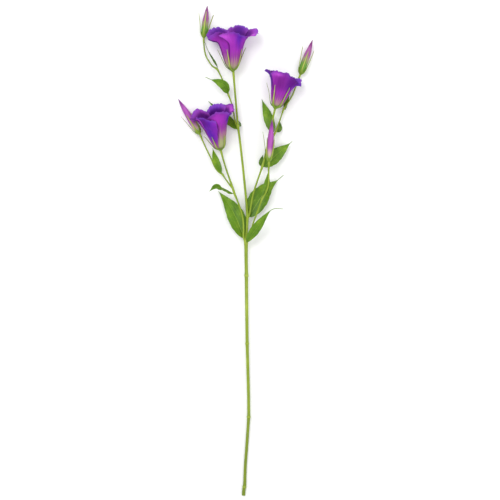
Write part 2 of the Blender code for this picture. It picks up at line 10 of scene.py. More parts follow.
import bmesh
import bpy
import numpy as np
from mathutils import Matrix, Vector


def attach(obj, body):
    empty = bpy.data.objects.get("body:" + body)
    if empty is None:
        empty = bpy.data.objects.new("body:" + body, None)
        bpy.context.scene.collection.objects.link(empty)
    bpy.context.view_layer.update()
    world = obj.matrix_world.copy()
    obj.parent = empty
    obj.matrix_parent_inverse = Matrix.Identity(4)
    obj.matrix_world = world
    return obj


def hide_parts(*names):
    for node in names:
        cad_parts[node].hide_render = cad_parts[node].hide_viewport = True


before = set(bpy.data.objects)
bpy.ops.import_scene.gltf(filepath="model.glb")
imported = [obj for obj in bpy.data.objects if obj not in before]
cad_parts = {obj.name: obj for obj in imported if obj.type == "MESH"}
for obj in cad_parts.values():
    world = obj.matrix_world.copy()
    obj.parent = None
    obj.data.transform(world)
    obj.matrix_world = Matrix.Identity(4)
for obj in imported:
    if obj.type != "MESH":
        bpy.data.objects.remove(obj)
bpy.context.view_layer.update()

MM = 0.001

# Routes: x, y, z and radius, in mm, from the lower end to the upper end.
STEMS = {
    "main_stem": [
        (-3.2, -348.0, 2.7, 2.45), (-2.6, -340.0, 2.8, 2.4), (-1.9, -336.0, 3.0, 2.9),
        (-1.4, -331.0, 3.1, 2.3), (-0.6, -306.5, 3.4, 2.15), (2.0, -270.0, 4.2, 2.15),
        (3.9, -241.0, 4.9, 2.2), (4.2, -236.4, 5.1, 2.9), (4.2, -231.5, 5.2, 2.2),
        (4.0, -206.4, 5.8, 2.15), (2.9, -165.0, 7.1, 2.25), (2.1, -136.5, 7.9, 2.3),
        (2.0, -131.5, 8.0, 2.95), (1.9, -126.5, 8.1, 2.3), (1.5, -90.0, 9.0, 2.35),
        (1.0, -42.0, 10.3, 2.45), (1.0, -35.0, 10.6, 3.2), (0.9, -29.0, 10.8, 2.5),
        (0.6, -8.0, 11.6, 2.55), (0.5, 6.0, 12.1, 2.7), (0.4, 15.2, 12.5, 3.3)],
    "centre_branch": [
        (0.6, 16.3, 12.6, 2.5), (1.0, 22.0, 12.9, 1.9), (1.9, 35.0, 13.5, 1.75),
        (2.4, 48.0, 14.0, 2.1), (2.2, 54.0, 14.1, 2.0), (0.9, 70.0, 14.0, 1.7),
        (-1.6, 96.1, 14.0, 1.65), (-4.6, 125.0, 13.5, 1.6), (-7.8, 153.0, 13.0, 1.6),
        (-10.3, 172.0, 12.6, 1.65), (-11.0, 177.9, 12.5, 2.1), (-11.7, 184.0, 12.4, 1.5),
        (-13.8, 209.2, 12.0, 1.4), (-16.2, 237.6, 12.6, 1.45), (-17.4, 253.6, 15.2, 1.7)],
    "top_bud_branch": [
        (-14.3, 182.5, 11.6, 1.15), (-16.4, 192.0, 11.0, 1.05), (-18.4, 204.0, 11.2, 1.0),
        (-21.8, 215.0, 12.0, 1.0), (-25.0, 223.2, 13.0, 1.45), (-28.8, 233.5, 14.0, 1.0),
        (-33.2, 244.1, 15.0, 1.0), (-37.6, 253.0, 15.6, 1.1), (-40.9, 258.5, 16.0, 1.5),
        (-47.1, 262.5, 14.6, 1.0), (-52.2, 269.6, 12.6, 1.0), (-56.4, 277.2, 10.8, 1.0),
        (-58.5, 285.4, 9.4, 1.0), (-59.6, 294.8, 8.6, 1.05), (-59.8, 302.6, 8.2, 1.4)],
    "left_branch": [
        (-3.0, 20.5, 14.8, 1.5), (-3.0, 31.0, 15.7, 1.3), (-3.6, 42.5, 16.5, 1.25),
        (-5.4, 52.5, 17.2, 1.25), (-8.2, 61.8, 17.5, 1.25), (-12.0, 72.0, 17.9, 1.25),
        (-16.0, 81.9, 18.0, 1.7), (-19.0, 91.3, 17.0, 1.6), (-23.9, 105.3, 15.0, 1.2),
        (-27.3, 115.0, 13.4, 1.2), (-30.1, 124.0, 12.0, 1.2), (-32.8, 133.5, 11.3, 1.3),
        (-35.1, 142.0, 11.0, 1.6)],
    "left_bud_stalk": [
        (-23.2, 94.8, 17.5, 1.1), (-26.8, 99.8, 16.8, 1.0), (-30.2, 104.6, 16.0, 1.05),
        (-33.2, 109.1, 15.5, 1.5), (-36.8, 111.4, 15.2, 1.1), (-40.0, 113.9, 15.0, 1.0),
        (-45.0, 121.5, 14.0, 1.0), (-48.6, 130.2, 13.0, 1.0), (-52.6, 138.5, 12.2, 1.0),
        (-56.5, 146.7, 11.5, 1.0), (-61.0, 156.5, 10.6, 1.05), (-64.6, 165.0, 10.0, 1.5)],
    "right_branch": [
        (5.8, 55.0, 14.8, 1.45), (7.6, 66.0, 15.1, 1.3), (10.0, 79.0, 15.5, 1.25),
        (13.2, 90.0, 16.0, 1.25), (16.9, 100.8, 16.5, 1.25), (20.8, 112.0, 16.8, 1.25),
        (23.7, 120.8, 17.0, 1.75), (26.0, 129.0, 17.2, 1.3), (28.2, 138.5, 17.5, 1.3),
        (31.2, 151.0, 18.0, 1.2), (35.4, 164.7, 18.5, 1.5), (37.3, 176.0, 19.0, 1.15),
        (38.6, 188.0, 19.5, 1.2), (41.2, 200.3, 20.4, 1.5)],
    "right_bud_stalk": [
        (32.3, 143.6, 16.6, 1.1), (34.9, 151.5, 15.0, 1.0), (38.4, 160.5, 13.0, 1.05),
        (42.1, 169.0, 11.0, 1.5), (45.4, 177.5, 9.4, 1.0), (48.4, 185.9, 8.0, 1.0),
        (51.2, 194.0, 7.0, 1.0), (53.6, 201.3, 6.4, 1.45), (58.2, 209.0, 5.4, 1.0),
        (63.1, 216.2, 4.6, 1.0), (66.8, 223.0, 4.2, 1.0), (69.6, 229.8, 4.2, 1.0),
        (73.4, 240.5, 5.2, 1.05), (77.2, 250.2, 6.4, 1.5)],
    "front_bud_stalk": [
        (4.9, 19.0, 15.0, 1.5), (6.9, 26.0, 16.6, 1.2), (8.6, 33.0, 18.4, 1.1),
        (11.2, 41.5, 20.4, 1.1), (14.6, 50.3, 22.2, 1.1), (19.2, 62.8, 25.0, 1.1),
        (23.3, 74.0, 27.4, 1.5), (27.0, 79.8, 28.6, 1.1), (29.8, 85.9, 29.2, 1.1),
        (31.8, 93.0, 29.7, 1.1), (32.5, 101.0, 30.0, 1.1), (32.4, 113.0, 30.3, 1.15),
        (32.8, 124.6, 30.5, 1.6)],
}

# Leaves: midrib points, half widths left and right of the midrib (seen with the tip up),
# the direction that the upper face looks in, and the fold angle in degrees.
LEAVES = {
    "whorl_leaf_left": dict(
        spine=[(-2.6, 20.4, 10.4), (-13.4, 46.0, 8.5), (-24.2, 66.0, 6.0), (-39.0, 85.9, 3.0)],
        width=(11.5, 13.5), face=(0.1, 0.0, 1.0), fold=14),
    "whorl_leaf_right": dict(
        spine=[(2.0, 13.6, 17.9), (6.6, 20.6, 21.0), (15.2, 32.0, 26.0), (29.0, 50.6, 31.6),
               (39.0, 59.4, 32.6), (53.8, 59.6, 32.0)],
        width=(7.0, 6.4), face=(-0.05, 0.1, 1.0), fold=10),
    "fork_leaf": dict(
        spine=[(5.3, 49.6, 10.8), (15.0, 66.5, 9.0), (30.0, 88.0, 6.0), (43.4, 99.4, 4.4),
               (54.6, 108.9, 6.0)],
        width=(15.5, 12.5), face=(0.0, 0.0, 1.0), fold=10),
    "left_branch_leaf": dict(
        spine=[(-18.8, 82.0, 18.4), (-28.4, 87.2, 21.5), (-41.0, 91.8, 22.0),
               (-51.9, 84.5, 18.0)],
        width=(5.0, 6.5), face=(-0.25, -0.4, 1.0), fold=28),
    "left_bract": dict(
        spine=[(-34.8, 111.7, 17.8), (-39.0, 121.0, 17.2), (-43.6, 133.0, 14.6),
               (-47.0, 147.0, 7.6)],
        width=(5.2, 4.6), face=(0.1, 0.0, 1.0), fold=16),
    "top_branch_leaf": dict(
        spine=[(-26.0, 224.6, 15.6), (-29.2, 234.0, 21.0), (-38.2, 239.8, 22.0),
               (-49.2, 243.3, 19.0), (-57.8, 247.4, 16.0)],
        width=(7.2, 5.6), face=(-0.15, 0.1, 1.0), fold=14),
    "centre_leaf_left": dict(
        spine=[(-13.2, 174.4, 10.6), (-20.6, 183.6, 4.5), (-35.0, 197.0, 1.4),
               (-53.6, 214.4, 1.2)],
        width=(6.5, 5.4), face=(0.0, 0.0, 1.0), fold=4),
    "centre_leaf_right": dict(
        spine=[(-9.0, 178.0, 9.8), (-8.6, 182.0, 6.0), (-10.6, 186.6, 2.0)],
        width=(3.6, 3.0), face=(0.8, 0.2, 0.5), fold=16),
    "right_stalk_leaf_left": dict(
        spine=[(38.2, 168.2, 15.0), (36.4, 178.0, 12.0), (30.6, 196.0, 9.0), (22.6, 217.1, 5.0)],
        width=(7.6, 6.6), face=(-0.1, -0.1, 1.0), fold=12),
    "right_stalk_leaf_right": dict(
        spine=[(45.4, 170.0, 8.2), (48.6, 176.0, 4.6), (49.2, 184.6, 2.2)],
        width=(4.0, 3.6), face=(0.3, 0.0, 1.0), fold=6),
    "right_bract": dict(
        spine=[(56.4, 202.8, 3.6), (58.8, 212.0, 1.5), (63.0, 231.4, 1.0)],
        width=(4.6, 1.6), face=(0.0, 0.0, 1.0), fold=0),
    "right_branch_leaf": dict(
        spine=[(26.8, 120.6, 15.0), (39.6, 133.2, 11.6), (54.5, 146.0, 9.0),
               (66.9, 156.9, 7.0)],
        width=(10.5, 9.5), face=(0.0, 0.0, 1.0), fold=4),
    "right_branch_leaf_small": dict(
        spine=[(21.6, 121.6, 14.0), (22.6, 128.6, 9.6), (24.6, 137.6, 5.6)],
        width=(3.8, 3.2), face=(-0.4, 0.0, 0.9), fold=12),
    "front_bract": dict(
        spine=[(25.0, 77.2, 24.8), (29.6, 91.0, 24.4), (32.0, 113.4, 25.2)],
        width=(5.0, 5.0), face=(-0.15, 0.0, 1.0), fold=14),
    "top_bract": dict(
        spine=[(-40.4, 261.8, 17.8), (-45.2, 269.4, 17.6), (-53.0, 284.0, 15.4),
               (-58.6, 298.6, 13.4)],
        width=(2.6, 2.2), face=(0.8, 0.2, 0.6), fold=18),
}

# Flowers: the foot of the corolla, the lean of the axis to the right (degrees in plan) and its
# tilt up from the surface.  The cup is height and radius.  The lip is given by its reach, its
# height and the way its edge points (0 outward, 90 upward) at even steps around the mouth,
# from the right-hand side over the top.  A petal is its centre, how far it spans to its right
# and to its left (degrees) and how much its top falls away on each of the two sides; waist has
# its two spans at mid height, flare the length shares between which it widens, and laps says
# for each edge if it lies over its neighbour (1) or is tucked in (-1).  Sepals are numbered
# from the first one's azimuth, with their lengths and how far their tips stand off.
FLOWERS = {
    "top": dict(
        foot=(-18.2, 256.2, 16.0), lean=-2.5, tilt=12.0,
        cup=[(0, 2.4), (3, 4.6), (9, 9.2), (22, 13.2), (31, 15.4), (37, 17.4)],
        reach=(39, 36, 27, 24.5, 25, 25, 25.5, 26, 28, 33,
               38, 35.5, 31, 29, 28, 27, 28, 30, 34, 38.5),
        height=(50.5, 48.5, 49.5, 53, 55.5, 56, 57, 57.5, 56.5, 50.5,
                52, 60, 60.5, 60, 60, 60.5, 62, 61, 58, 58.5),
        turn=(-5, -5, 15, 20, 25, 25, 30, 30, 35, 50, 60, 60, 40, 30, 30, 30, 30, 20, 5, 0),
        petals=((3, 46, 50, 0.12, 0.10), (75, 48, 62, 0.10, 0.06), (147, 58, 46, 0.12, 0.12),
                (219, 48, 46, 0.14, 0.14), (291, 48, 46, 0.14, 0.14)),
        waist=((46, 50), (44, 24), (58, 46), (48, 46), (48, 46)), flare=(0.62, 0.95),
        laps=((1, -1), (1, 1), (-1, -1), (1, -1), (1, -1)),
        first_sepal=111.0, sepals=(33, 32, 30, 33, 32), splays=(1.5, 3.5, 0.6, 6.5, 0.8)),
    "left": dict(
        foot=(-35.7, 144.4, 11.0), lean=-13.6, tilt=18.0,
        cup=[(0, 2.4), (3, 5.0), (8, 8.6), (24, 13.8), (33, 16.2), (39, 18.6)],
        reach=(32, 31.5, 28.5, 25.5, 24, 23, 24, 26, 28, 30.5,
               33, 32, 28.5, 26, 24, 23.5, 24, 26, 30, 34),
        height=(51.5, 52.5, 54.5, 58.5, 60.5, 57, 54.5, 56.5, 58.5, 52.5,
                51.5, 55, 62, 60.5, 57, 60, 62.5, 61.5, 61, 59),
        turn=(10, 15, 25, 30, 30, 30, 35, 35, 35, 10, 0, 10, 30, 30, 30, 30, 35, 30, 20, 10),
        petals=((-2, 46, 50, 0.12, 0.12), (70, 60, 54, 0.08, 0.06), (142, 60, 6, 0.26, 0.02),
                (214, 72, 46, 0.06, 0.16), (286, 48, 46, 0.16, 0.12)),
        waist=((46, 50), (56, 54), (60, 1), (72, 46), (48, 46)), flare=(0.55, 0.88),
        laps=((1, -1), (1, -1), (1, 1), (-1, -1), (1, -1)),
        first_sepal=119.0, sepals=(25, 25, 24, 22, 22), splays=(1.0, 3.6, 0.6, 0.4, 0.4)),
    "right": dict(
        foot=(41.9, 203.0, 20.8), lean=16.3, tilt=5.0,
        cup=[(0, 2.2), (3, 5.2), (7, 8.0), (17, 11.2), (25, 13.2), (30, 14.8)],
        reach=(28, 28, 25.5, 22, 21, 21, 21, 22, 24.5, 28,
               29.5, 28, 25, 22, 20, 19.5, 19.5, 21, 25, 29),
        height=(40.5, 42, 45.5, 48.5, 51, 52, 52, 51.3, 50.5, 48.5,
                46.5, 46, 46, 46, 46, 46.5, 46.5, 48, 50, 47.5),
        turn=(0, 5, 20, 30, 40, 40, 40, 40, 30, 10, 0, 10, 30, 30, 30, 30, 30, 30, 20, 5),
        petals=((28, 48, 48, 0.10, 0.10), (92, 62, 60, 0.05, 0.05), (172, 46, 46, 0.10, 0.12),
                (244, 46, 46, 0.14, 0.14), (316, 46, 48, 0.14, 0.12)),
        waist=((48, 48), (56, 42), (46, 46), (46, 46), (46, 48)), flare=(0.55, 0.88),
        laps=((1, -1), (1, 1), (-1, -1), (1, -1), (1, -1)),
        first_sepal=121.0, sepals=(32, 33, 28, 28, 34), splays=(1.6, 6.2, 0.6, 1.0, 1.6)),
}

# Buds: foot and tip of the furled corolla, its greatest radius, and its five sepals: where the
# first one sits, how long they are, how far their tips stand off and turn around the bud.
BUDS = {
    "top": dict(foot=(-59.8, 305.4, 8.1), tip=(-54.6, 349.2, 9.0), radius=4.6,
                first_sepal=95.0, sepals=(36, 32, 29, 29, 32), splays=(0.5, 7.0, 0.6, 0.6, 7.4),
                drifts=(0, 0, 0, 0, 0)),
    "left": dict(foot=(-65.9, 167.7, 9.8), tip=(-96.0, 216.6, 6.6), radius=5.0,
                 first_sepal=112.0, sepals=(32, 35, 29, 29, 31), splays=(0.6, 4.8, 0.6, 0.6, 1.0),
                 drifts=(0, 0, 0, 0, 0)),
    "front": dict(foot=(32.9, 127.6, 30.7), tip=(37.4, 185.7, 34.0), radius=4.7,
                  first_sepal=54.0, sepals=(34, 32, 40, 30, 30), splays=(0.6, 0.6, 7.6, 0.6, 0.6),
                  drifts=(-30, 26, -14, 0, 0)),
    "right": dict(foot=(78.2, 253.0, 6.9), tip=(95.2, 300.6, 8.5), radius=5.0,
                  first_sepal=90.0, sepals=(33, 37, 29, 29, 37), splays=(0.5, 6.6, 0.6, 0.6, 3.4),
                  drifts=(0, 0, 0, 0, 0)),
}

# Sizes that only the looks need, in mm.
PETAL_THICKNESS = 0.32
PETAL_NEST = 0.9          # normal distance between two overlapping petals
PETAL_FOOT_ANGLE = 38.0   # degrees that half a petal spans at its foot
FALL_POWER = 2.5          # how late a petal's top falls away to its sides
STEM_INTO_BLOOM = 2.4     # how far a stem runs on into its bloom
LEAF_THICKNESS = 0.45
VEINS = 6                 # lengthwise veins across a leaf
SEPAL_THICKNESS = 0.55
SEPAL_CLEARANCE = 1.5     # sepal surface outside the petals' mean surface
SEPAL_TIP = 0.12          # half width of a sepal's tip
BUD_SEPAL_HALF = 1.2      # half width of a bud's sepal
BUD_SEPAL_THICKNESS = 0.45
BUD_CUP = 2.6             # height of a bud's calyx cup
SEPAL_SPREAD = 36.0       # degrees that half a sepal spans at its root, a tenth of a turn
CUP_UV = 0.08             # share of a calyx's UV height that is its cup
RIPPLES = ((5, 0.7), (8, 0.6), (13, 0.45), (19, 0.3))  # (turns, height) of a lip's waves
CALYX_CUP = 3.0           # height of a flower's calyx cup
CUP_SHARE = 0.6           # length share of a corolla that is its cup


# ---------------------------------------------------------------- curves and grids
def smooth_path(points, per_span):
    """Catmull-Rom line: each span's cubic blends its two ends and their neighbours."""
    pts = np.asarray(points, dtype=float)
    ext = np.vstack([2 * pts[0] - pts[1], pts, 2 * pts[-1] - pts[-2]])
    a, b, c, d = ext[:-3, None], ext[1:-2, None], ext[2:-1, None], ext[3:, None]
    t = (np.arange(per_span) / per_span)[None, :, None]
    spans = 0.5 * (2 * b + (c - a) * t + (2 * a - 5 * b + 4 * c - d) * t ** 2
                   + (3 * b - a - 3 * c + d) * t ** 3)
    return np.vstack([spans.reshape(-1, pts.shape[1]), pts[-1:]])


def around(values, degrees):
    """Catmull-Rom blend of stations that are evenly spaced around a circle."""
    values = np.asarray(values, dtype=float)
    count = len(values)
    pos = (np.asarray(degrees, dtype=float) * count / 360.0) % count
    i = np.floor(pos).astype(int)
    t = pos - i
    a, b, c, d = (values[(i + k) % count] for k in (-1, 0, 1, 2))
    return 0.5 * (2 * b + (c - a) * t + (2 * a - 5 * b + 4 * c - d) * t ** 2
                  + (3 * b - a - 3 * c + d) * t ** 3)


def unit(vectors):
    """Each vector divided by its own length."""
    return vectors / np.maximum(np.linalg.norm(vectors, axis=-1, keepdims=True), 1e-9)


def lengths(line):
    """Running length along a line of points."""
    steps = np.linalg.norm(np.diff(line, axis=0), axis=1)
    return np.concatenate([[0], np.cumsum(steps)])


def turn_round(count):
    """A row of angles once around, without the end."""
    return np.linspace(0, 2 * math.pi, count, endpoint=False)[None, :]


def spokes(right, front, angle, reach=1.0):
    """Vectors at some angles from an axis: right * cos + front * sin, times their reach."""
    return (right * (np.cos(angle) * reach)[..., None]
            + front * (np.sin(angle) * reach)[..., None])


def rise(x, low, high):
    """0 below low, 1 above high, and a smooth cubic step between them."""
    t = np.clip((np.asarray(x, dtype=float) - low) / (high - low), 0, 1)
    return t * t * (3 - 2 * t)


def ripple(angle, seed, waves):
    """Sum of sines with fixed phases drawn from a seed; waves are (turns, height) pairs."""
    phases = np.random.RandomState(seed).uniform(0, 2 * math.pi, len(waves))
    return sum(h * np.sin(n * angle + p) for (n, h), p in zip(waves, phases))


class Skin:
    """Collects grids of points as one mesh, with a UV map and named point values."""

    def __init__(self):
        """Starts with no grids."""
        self.points, self.faces, self.uvs, self.values, self.count = [], [], [], {}, 0

    def grid(self, points, ring=False, low=None, high=None, uv=None, **values):
        """A sheet of rows x columns points; ring joins the last column to the first.

        low and high are one closing point each for the first and the last row."""
        rows, cols = points.shape[:2]
        start = self.count
        index = start + np.arange(rows * cols).reshape(rows, cols)
        if ring:
            index = np.hstack([index, index[:, :1]])
        quads = np.stack([index[:-1, :-1], index[:-1, 1:], index[1:, 1:], index[1:, :-1]], -1)
        self.faces.append(quads.reshape(-1, 4))
        flat = [points.reshape(-1, 3)]
        if uv is None:
            u = np.broadcast_to(np.linspace(0, 1, cols)[None, :], (rows, cols))
            v = np.broadcast_to(np.linspace(0, 1, rows)[:, None], (rows, cols))
        else:
            u, v = np.broadcast_arrays(*uv)
        uvs = [np.stack([u, v], -1).reshape(-1, 2)]
        extra = 0
        for spot, row, flip in ((low, 0, True), (high, rows - 1, False)):
            if spot is None:
                continue
            pole = start + rows * cols + extra
            ends = index[row]
            fan = np.stack([ends[:-1], ends[1:], np.full(len(ends) - 1, pole)], -1)
            if flip:
                fan = fan[:, ::-1]
            self.faces.append(fan)
            flat.append(np.asarray(spot, dtype=float).reshape(1, 3))
            uvs.append(np.array([[0.5, float(v[row].mean())]]))
            extra += 1
        self.points += flat
        self.uvs += uvs
        for key, value in values.items():
            value = np.broadcast_to(value, (rows, cols)).reshape(-1)
            self.values.setdefault(key, []).append(
                np.concatenate([value, np.full(extra, float(value.mean()))]))
        self.count += rows * cols + extra
        return self

    def make(self, node, slot, materials, thickness=0.0, weld=False, flip=None):
        """The mesh object for one CAD node: it rides on the root; slot is not used.

        flip turns an open sheet's faces round; without it the faces are turned outward."""
        points = np.vstack(self.points) * MM
        uvs = np.vstack(self.uvs)
        mesh = bpy.data.meshes.new(node + "_skin")
        loops = np.concatenate([f.reshape(-1) for f in self.faces])
        sizes = np.concatenate([np.full(len(f), f.shape[1]) for f in self.faces])
        mesh.vertices.add(len(points))
        mesh.vertices.foreach_set("co", points.reshape(-1).astype(np.float32))
        mesh.loops.add(len(loops))
        mesh.loops.foreach_set("vertex_index", loops.astype(np.int32))
        mesh.polygons.add(len(sizes))
        starts = np.concatenate([[0], np.cumsum(sizes)[:-1]])
        mesh.polygons.foreach_set("loop_start", starts.astype(np.int32))
        mesh.update(calc_edges=True)
        layer = mesh.uv_layers.new(name="along")
        layer.data.foreach_set("uv", uvs[loops].reshape(-1).astype(np.float32))
        for key, parts in self.values.items():
            field = mesh.attributes.new(key, "FLOAT", "POINT")
            field.data.foreach_set("value", np.concatenate(parts).astype(np.float32))
        mesh.polygons.foreach_set("use_smooth", np.ones(len(sizes), dtype=bool))
        bm = bmesh.new()
        bm.from_mesh(mesh)
        if weld:
            bmesh.ops.remove_doubles(bm, verts=bm.verts, dist=1e-6)
        if flip is None:
            bmesh.ops.recalc_face_normals(bm, faces=bm.faces)
        elif flip:
            bmesh.ops.reverse_faces(bm, faces=bm.faces)
        bm.to_mesh(mesh)
        bm.free()
        piece = bpy.data.objects.new(node + "_skin", mesh)
        bpy.context.scene.collection.objects.link(piece)
        for one in materials:
            mesh.materials.append(one)
        if thickness:
            wall = piece.modifiers.new("thickness", "SOLIDIFY")
            wall.thickness = thickness * MM
            wall.offset = 0.0
            wall.use_even_offset = False
            if len(materials) > 1:
                wall.material_offset = 1
        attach(piece, "root")
        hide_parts(node)
        return piece


# ---------------------------------------------------------------- materials
class Finish:
    """A node material on the Principled shader, with patterns on the piece's own UV map: x
    runs across the piece and y along it."""

    def __init__(self, name, roughness, specular):
        """A new material, with sockets for the place across, along and on the object."""
        self.mat = bpy.data.materials.new(name)
        self.mat.use_nodes = True
        self.tree = self.mat.node_tree
        self.shader = self.tree.nodes["Principled BSDF"]
        self.shader.inputs["Roughness"].default_value = roughness
        self.shader.inputs["Specular IOR Level"].default_value = specular
        self.uv = self.add("ShaderNodeUVMap")
        self.uv.uv_map = "along"
        split = self.add("ShaderNodeSeparateXYZ")
        self.link(self.uv.outputs["UV"], split.inputs[0])
        self.across, self.along = split.outputs["X"], split.outputs["Y"]
        self.place = self.add("ShaderNodeTexCoord").outputs["Object"]

    def add(self, kind):
        """A new node of one kind."""
        return self.tree.nodes.new(kind)

    def link(self, a, b):
        """Joins an output to an input."""
        self.tree.links.new(a, b)

    def value(self, name):
        """A named point value of the mesh."""
        node = self.add("ShaderNodeAttribute")
        node.attribute_name = name
        return node.outputs["Fac"]

    def math(self, kind, a, b=0.5, c=0.5, clamp=False):
        """One sum on numbers or sockets."""
        node = self.add("ShaderNodeMath")
        node.operation = kind
        node.use_clamp = clamp
        for socket, item in zip(node.inputs, (a, b, c)):
            if isinstance(item, (int, float)):
                socket.default_value = item
            else:
                self.link(item, socket)
        return node.outputs[0]

    def ramp(self, factor, *stops):
        """Eased steps between (place, colour) stops; a single number stands for a grey."""
        node = self.add("ShaderNodeValToRGB")
        node.color_ramp.interpolation = "EASE"
        marks = node.color_ramp.elements
        while len(marks) < len(stops):
            marks.new(0.5)
        for mark, (place, colour) in zip(marks, stops):
            mark.position = place
            mark.color = (*(colour if isinstance(colour, tuple) else (colour,) * 3), 1.0)
        self.link(factor, node.inputs[0])
        return node.outputs[0]

    def noise(self, scale=1.0, stretch=None, detail=3.0, rough=0.5):
        """Noise on Object coordinates, or on the UV map where stretch gives its x, y scale."""
        node = self.add("ShaderNodeTexNoise")
        node.inputs["Scale"].default_value = scale
        node.inputs["Detail"].default_value = detail
        node.inputs["Roughness"].default_value = rough
        if stretch:
            mapping = self.add("ShaderNodeMapping")
            mapping.inputs["Scale"].default_value = (*stretch, 1.0)
            self.link(self.uv.outputs["UV"], mapping.inputs[0])
            self.link(mapping.outputs[0], node.inputs["Vector"])
        else:
            self.link(self.place, node.inputs["Vector"])
        return node.outputs["Fac"]

    def times(self, socket, amount):
        """A socket's value multiplied by an amount."""
        return self.math("MULTIPLY", socket, amount)

    def sway(self, base, noise, amount, clamp=False):
        """A value pushed up and down by a noise around its middle."""
        centred = self.math("SUBTRACT", noise, 0.5)
        return self.math("ADD", base, self.times(centred, amount), clamp=clamp)

    def tint(self, body, mask, amount, colour):
        """The body with some of a colour where the mask is bright."""
        return self.mix(self.times(mask, amount), body, colour)

    def mix(self, factor, a, b, kind="MIX"):
        """Colour a blended towards colour b by a factor, or multiplied by it."""
        node = self.add("ShaderNodeMix")
        node.data_type = "RGBA"
        node.blend_type = kind
        sockets = [s for s in node.inputs if s.enabled]
        for socket, item in zip(sockets, (factor, a, b)):
            if isinstance(item, (int, float)):
                socket.default_value = item
            elif isinstance(item, tuple):
                socket.default_value = (*item, 1.0)
            else:
                self.link(item, socket)
        return [s for s in node.outputs if s.enabled][0]

    def bump(self, height, strength, distance_mm):
        """Fine relief in the shading, from a height socket."""
        node = self.add("ShaderNodeBump")
        node.inputs["Strength"].default_value = strength
        node.inputs["Distance"].default_value = distance_mm * MM
        self.link(height, node.inputs["Height"])
        self.link(node.outputs[0], self.shader.inputs["Normal"])

    def finish(self, colour, glow=0.0):
        """Colour goes to the shader; glow is the share of light let through the tissue."""
        self.link(colour, self.shader.inputs["Base Color"])
        if glow:
            through = self.add("ShaderNodeBsdfTranslucent")
            self.link(colour, through.inputs["Color"])
            both = self.add("ShaderNodeMixShader")
            both.inputs[0].default_value = glow
            self.link(self.shader.outputs[0], both.inputs[1])
            self.link(through.outputs[0], both.inputs[2])
            self.link(both.outputs[0], self.tree.nodes["Material Output"].inputs["Surface"])
        return self.mat


def srgb(r, g, b):
    """A colour given as 0-255 display values, as linear light."""
    c = np.array([r, g, b]) / 255.0
    lin = np.where(c <= 0.04045, c / 12.92, ((c + 0.055) / 1.055) ** 2.4)
    return tuple(float(x) for x in lin)


# fold is the colour of the painted shade
def petal_finish(name, magenta, violet, throat, foot, fold, glow, painted_mouth_shade=0.0):
    """Petal tissue: pale at the foot, magenta above it, blue-violet towards the rim, with painted
    shade where it goes under its neighbour, patches of painted shade and painted highlight, and
    fine fibres along its length and faint clouds.  The inner face has painted shade below the rim
    instead of under its neighbour."""
    f = Finish(name, roughness=0.62, specular=0.18)
    fibre = f.noise(stretch=(85.0, 2.2), detail=4.0, rough=0.6)
    broad = f.noise(stretch=(13.0, 1.1), detail=2.0)
    cloud = f.noise(85.0)
    # height along the petal, pushed up and down by the fibres so that zones end in streaks
    height = f.sway(f.sway(f.along, broad, 0.55), fibre, 0.16)
    height = f.math("SUBTRACT", height, f.value("pale"))
    body = f.ramp(height, (0.05, foot[0]), (0.19, foot[1]), (0.36, throat), (0.52, magenta),
                  (0.90, magenta))
    blue = f.sway(f.value("blue"), cloud, 0.8, clamp=True)
    body = f.tint(body, blue, f.ramp(height, (0.22, 0), (0.5, 1)), violet)
    # painted shade inside the mouth: the inner face darkened below the rim
    if painted_mouth_shade:
        body = f.tint(body, f.ramp(f.along, (0.82, 1), (0.96, 0)), painted_mouth_shade, fold)
    body = f.tint(body, f.value("rim"), 0.7, RIM)
    # patches of painted shade
    body = f.tint(body, f.value("dusk"), 0.75, fold)
    # patches of painted highlight
    body = f.tint(body, f.value("light"), 0.75, PAINTED_HIGHLIGHT)
    # painted shade on the outer face where it goes under a neighbour's edge
    if not painted_mouth_shade:
        body = f.tint(body, f.value("deep"), 0.9, fold)
    shade = f.ramp(fibre, (0.28, (0.76, 0.70, 0.80)), (0.55, 1.0), (0.78, (1.16, 1.12, 1.14)))
    body = f.mix(0.8, body, shade, "MULTIPLY")
    f.bump(f.math("ADD", fibre, f.times(cloud, 0.5)), 0.4, 0.3)
    return f.finish(body, glow)


def leaf_finish(name, dark, mid, pale, rib):
    """Leaf tissue: mottled green with a faint pale midrib and lengthwise veins, waxy, with
    painted shade in the fold at its base."""
    f = Finish(name, roughness=0.46, specular=0.35)
    streak = f.noise(stretch=(16.0, 1.6))
    cloud = f.noise(75.0, detail=4.0, rough=0.6)
    speck = f.noise(420.0, rough=0.6)
    tone = f.math("ADD", f.times(cloud, 0.55), f.times(streak, 0.25))
    tone = f.math("ADD", tone, f.times(speck, 0.20))
    body = f.ramp(tone, (0.36, dark), (0.50, mid), (0.64, pale))
    away = f.math("ABSOLUTE", f.math("SUBTRACT", f.across, 0.5))
    midrib = f.ramp(away, (0.006, 1), (0.030, 0))
    vein = f.math("COSINE", f.times(f.across, 2 * math.pi * VEINS))
    vein = f.ramp(f.math("MULTIPLY_ADD", vein, 0.5, 0.5), (0.86, 0), (1.0, 1))
    # painted shade in the fold at the base
    body = f.tint(body, f.value("shade"), 0.6, dark)
    body = f.tint(body, vein, 0.14, rib)
    body = f.tint(body, midrib, 0.55, rib)
    body = f.tint(body, f.ramp(away, (0.470, 0), (0.5, 1)), 0.45, pale)
    f.bump(f.math("ADD", f.times(vein, -0.3), f.times(speck, 0.5)), 0.4, 0.3)
    return f.finish(body, 0.14)


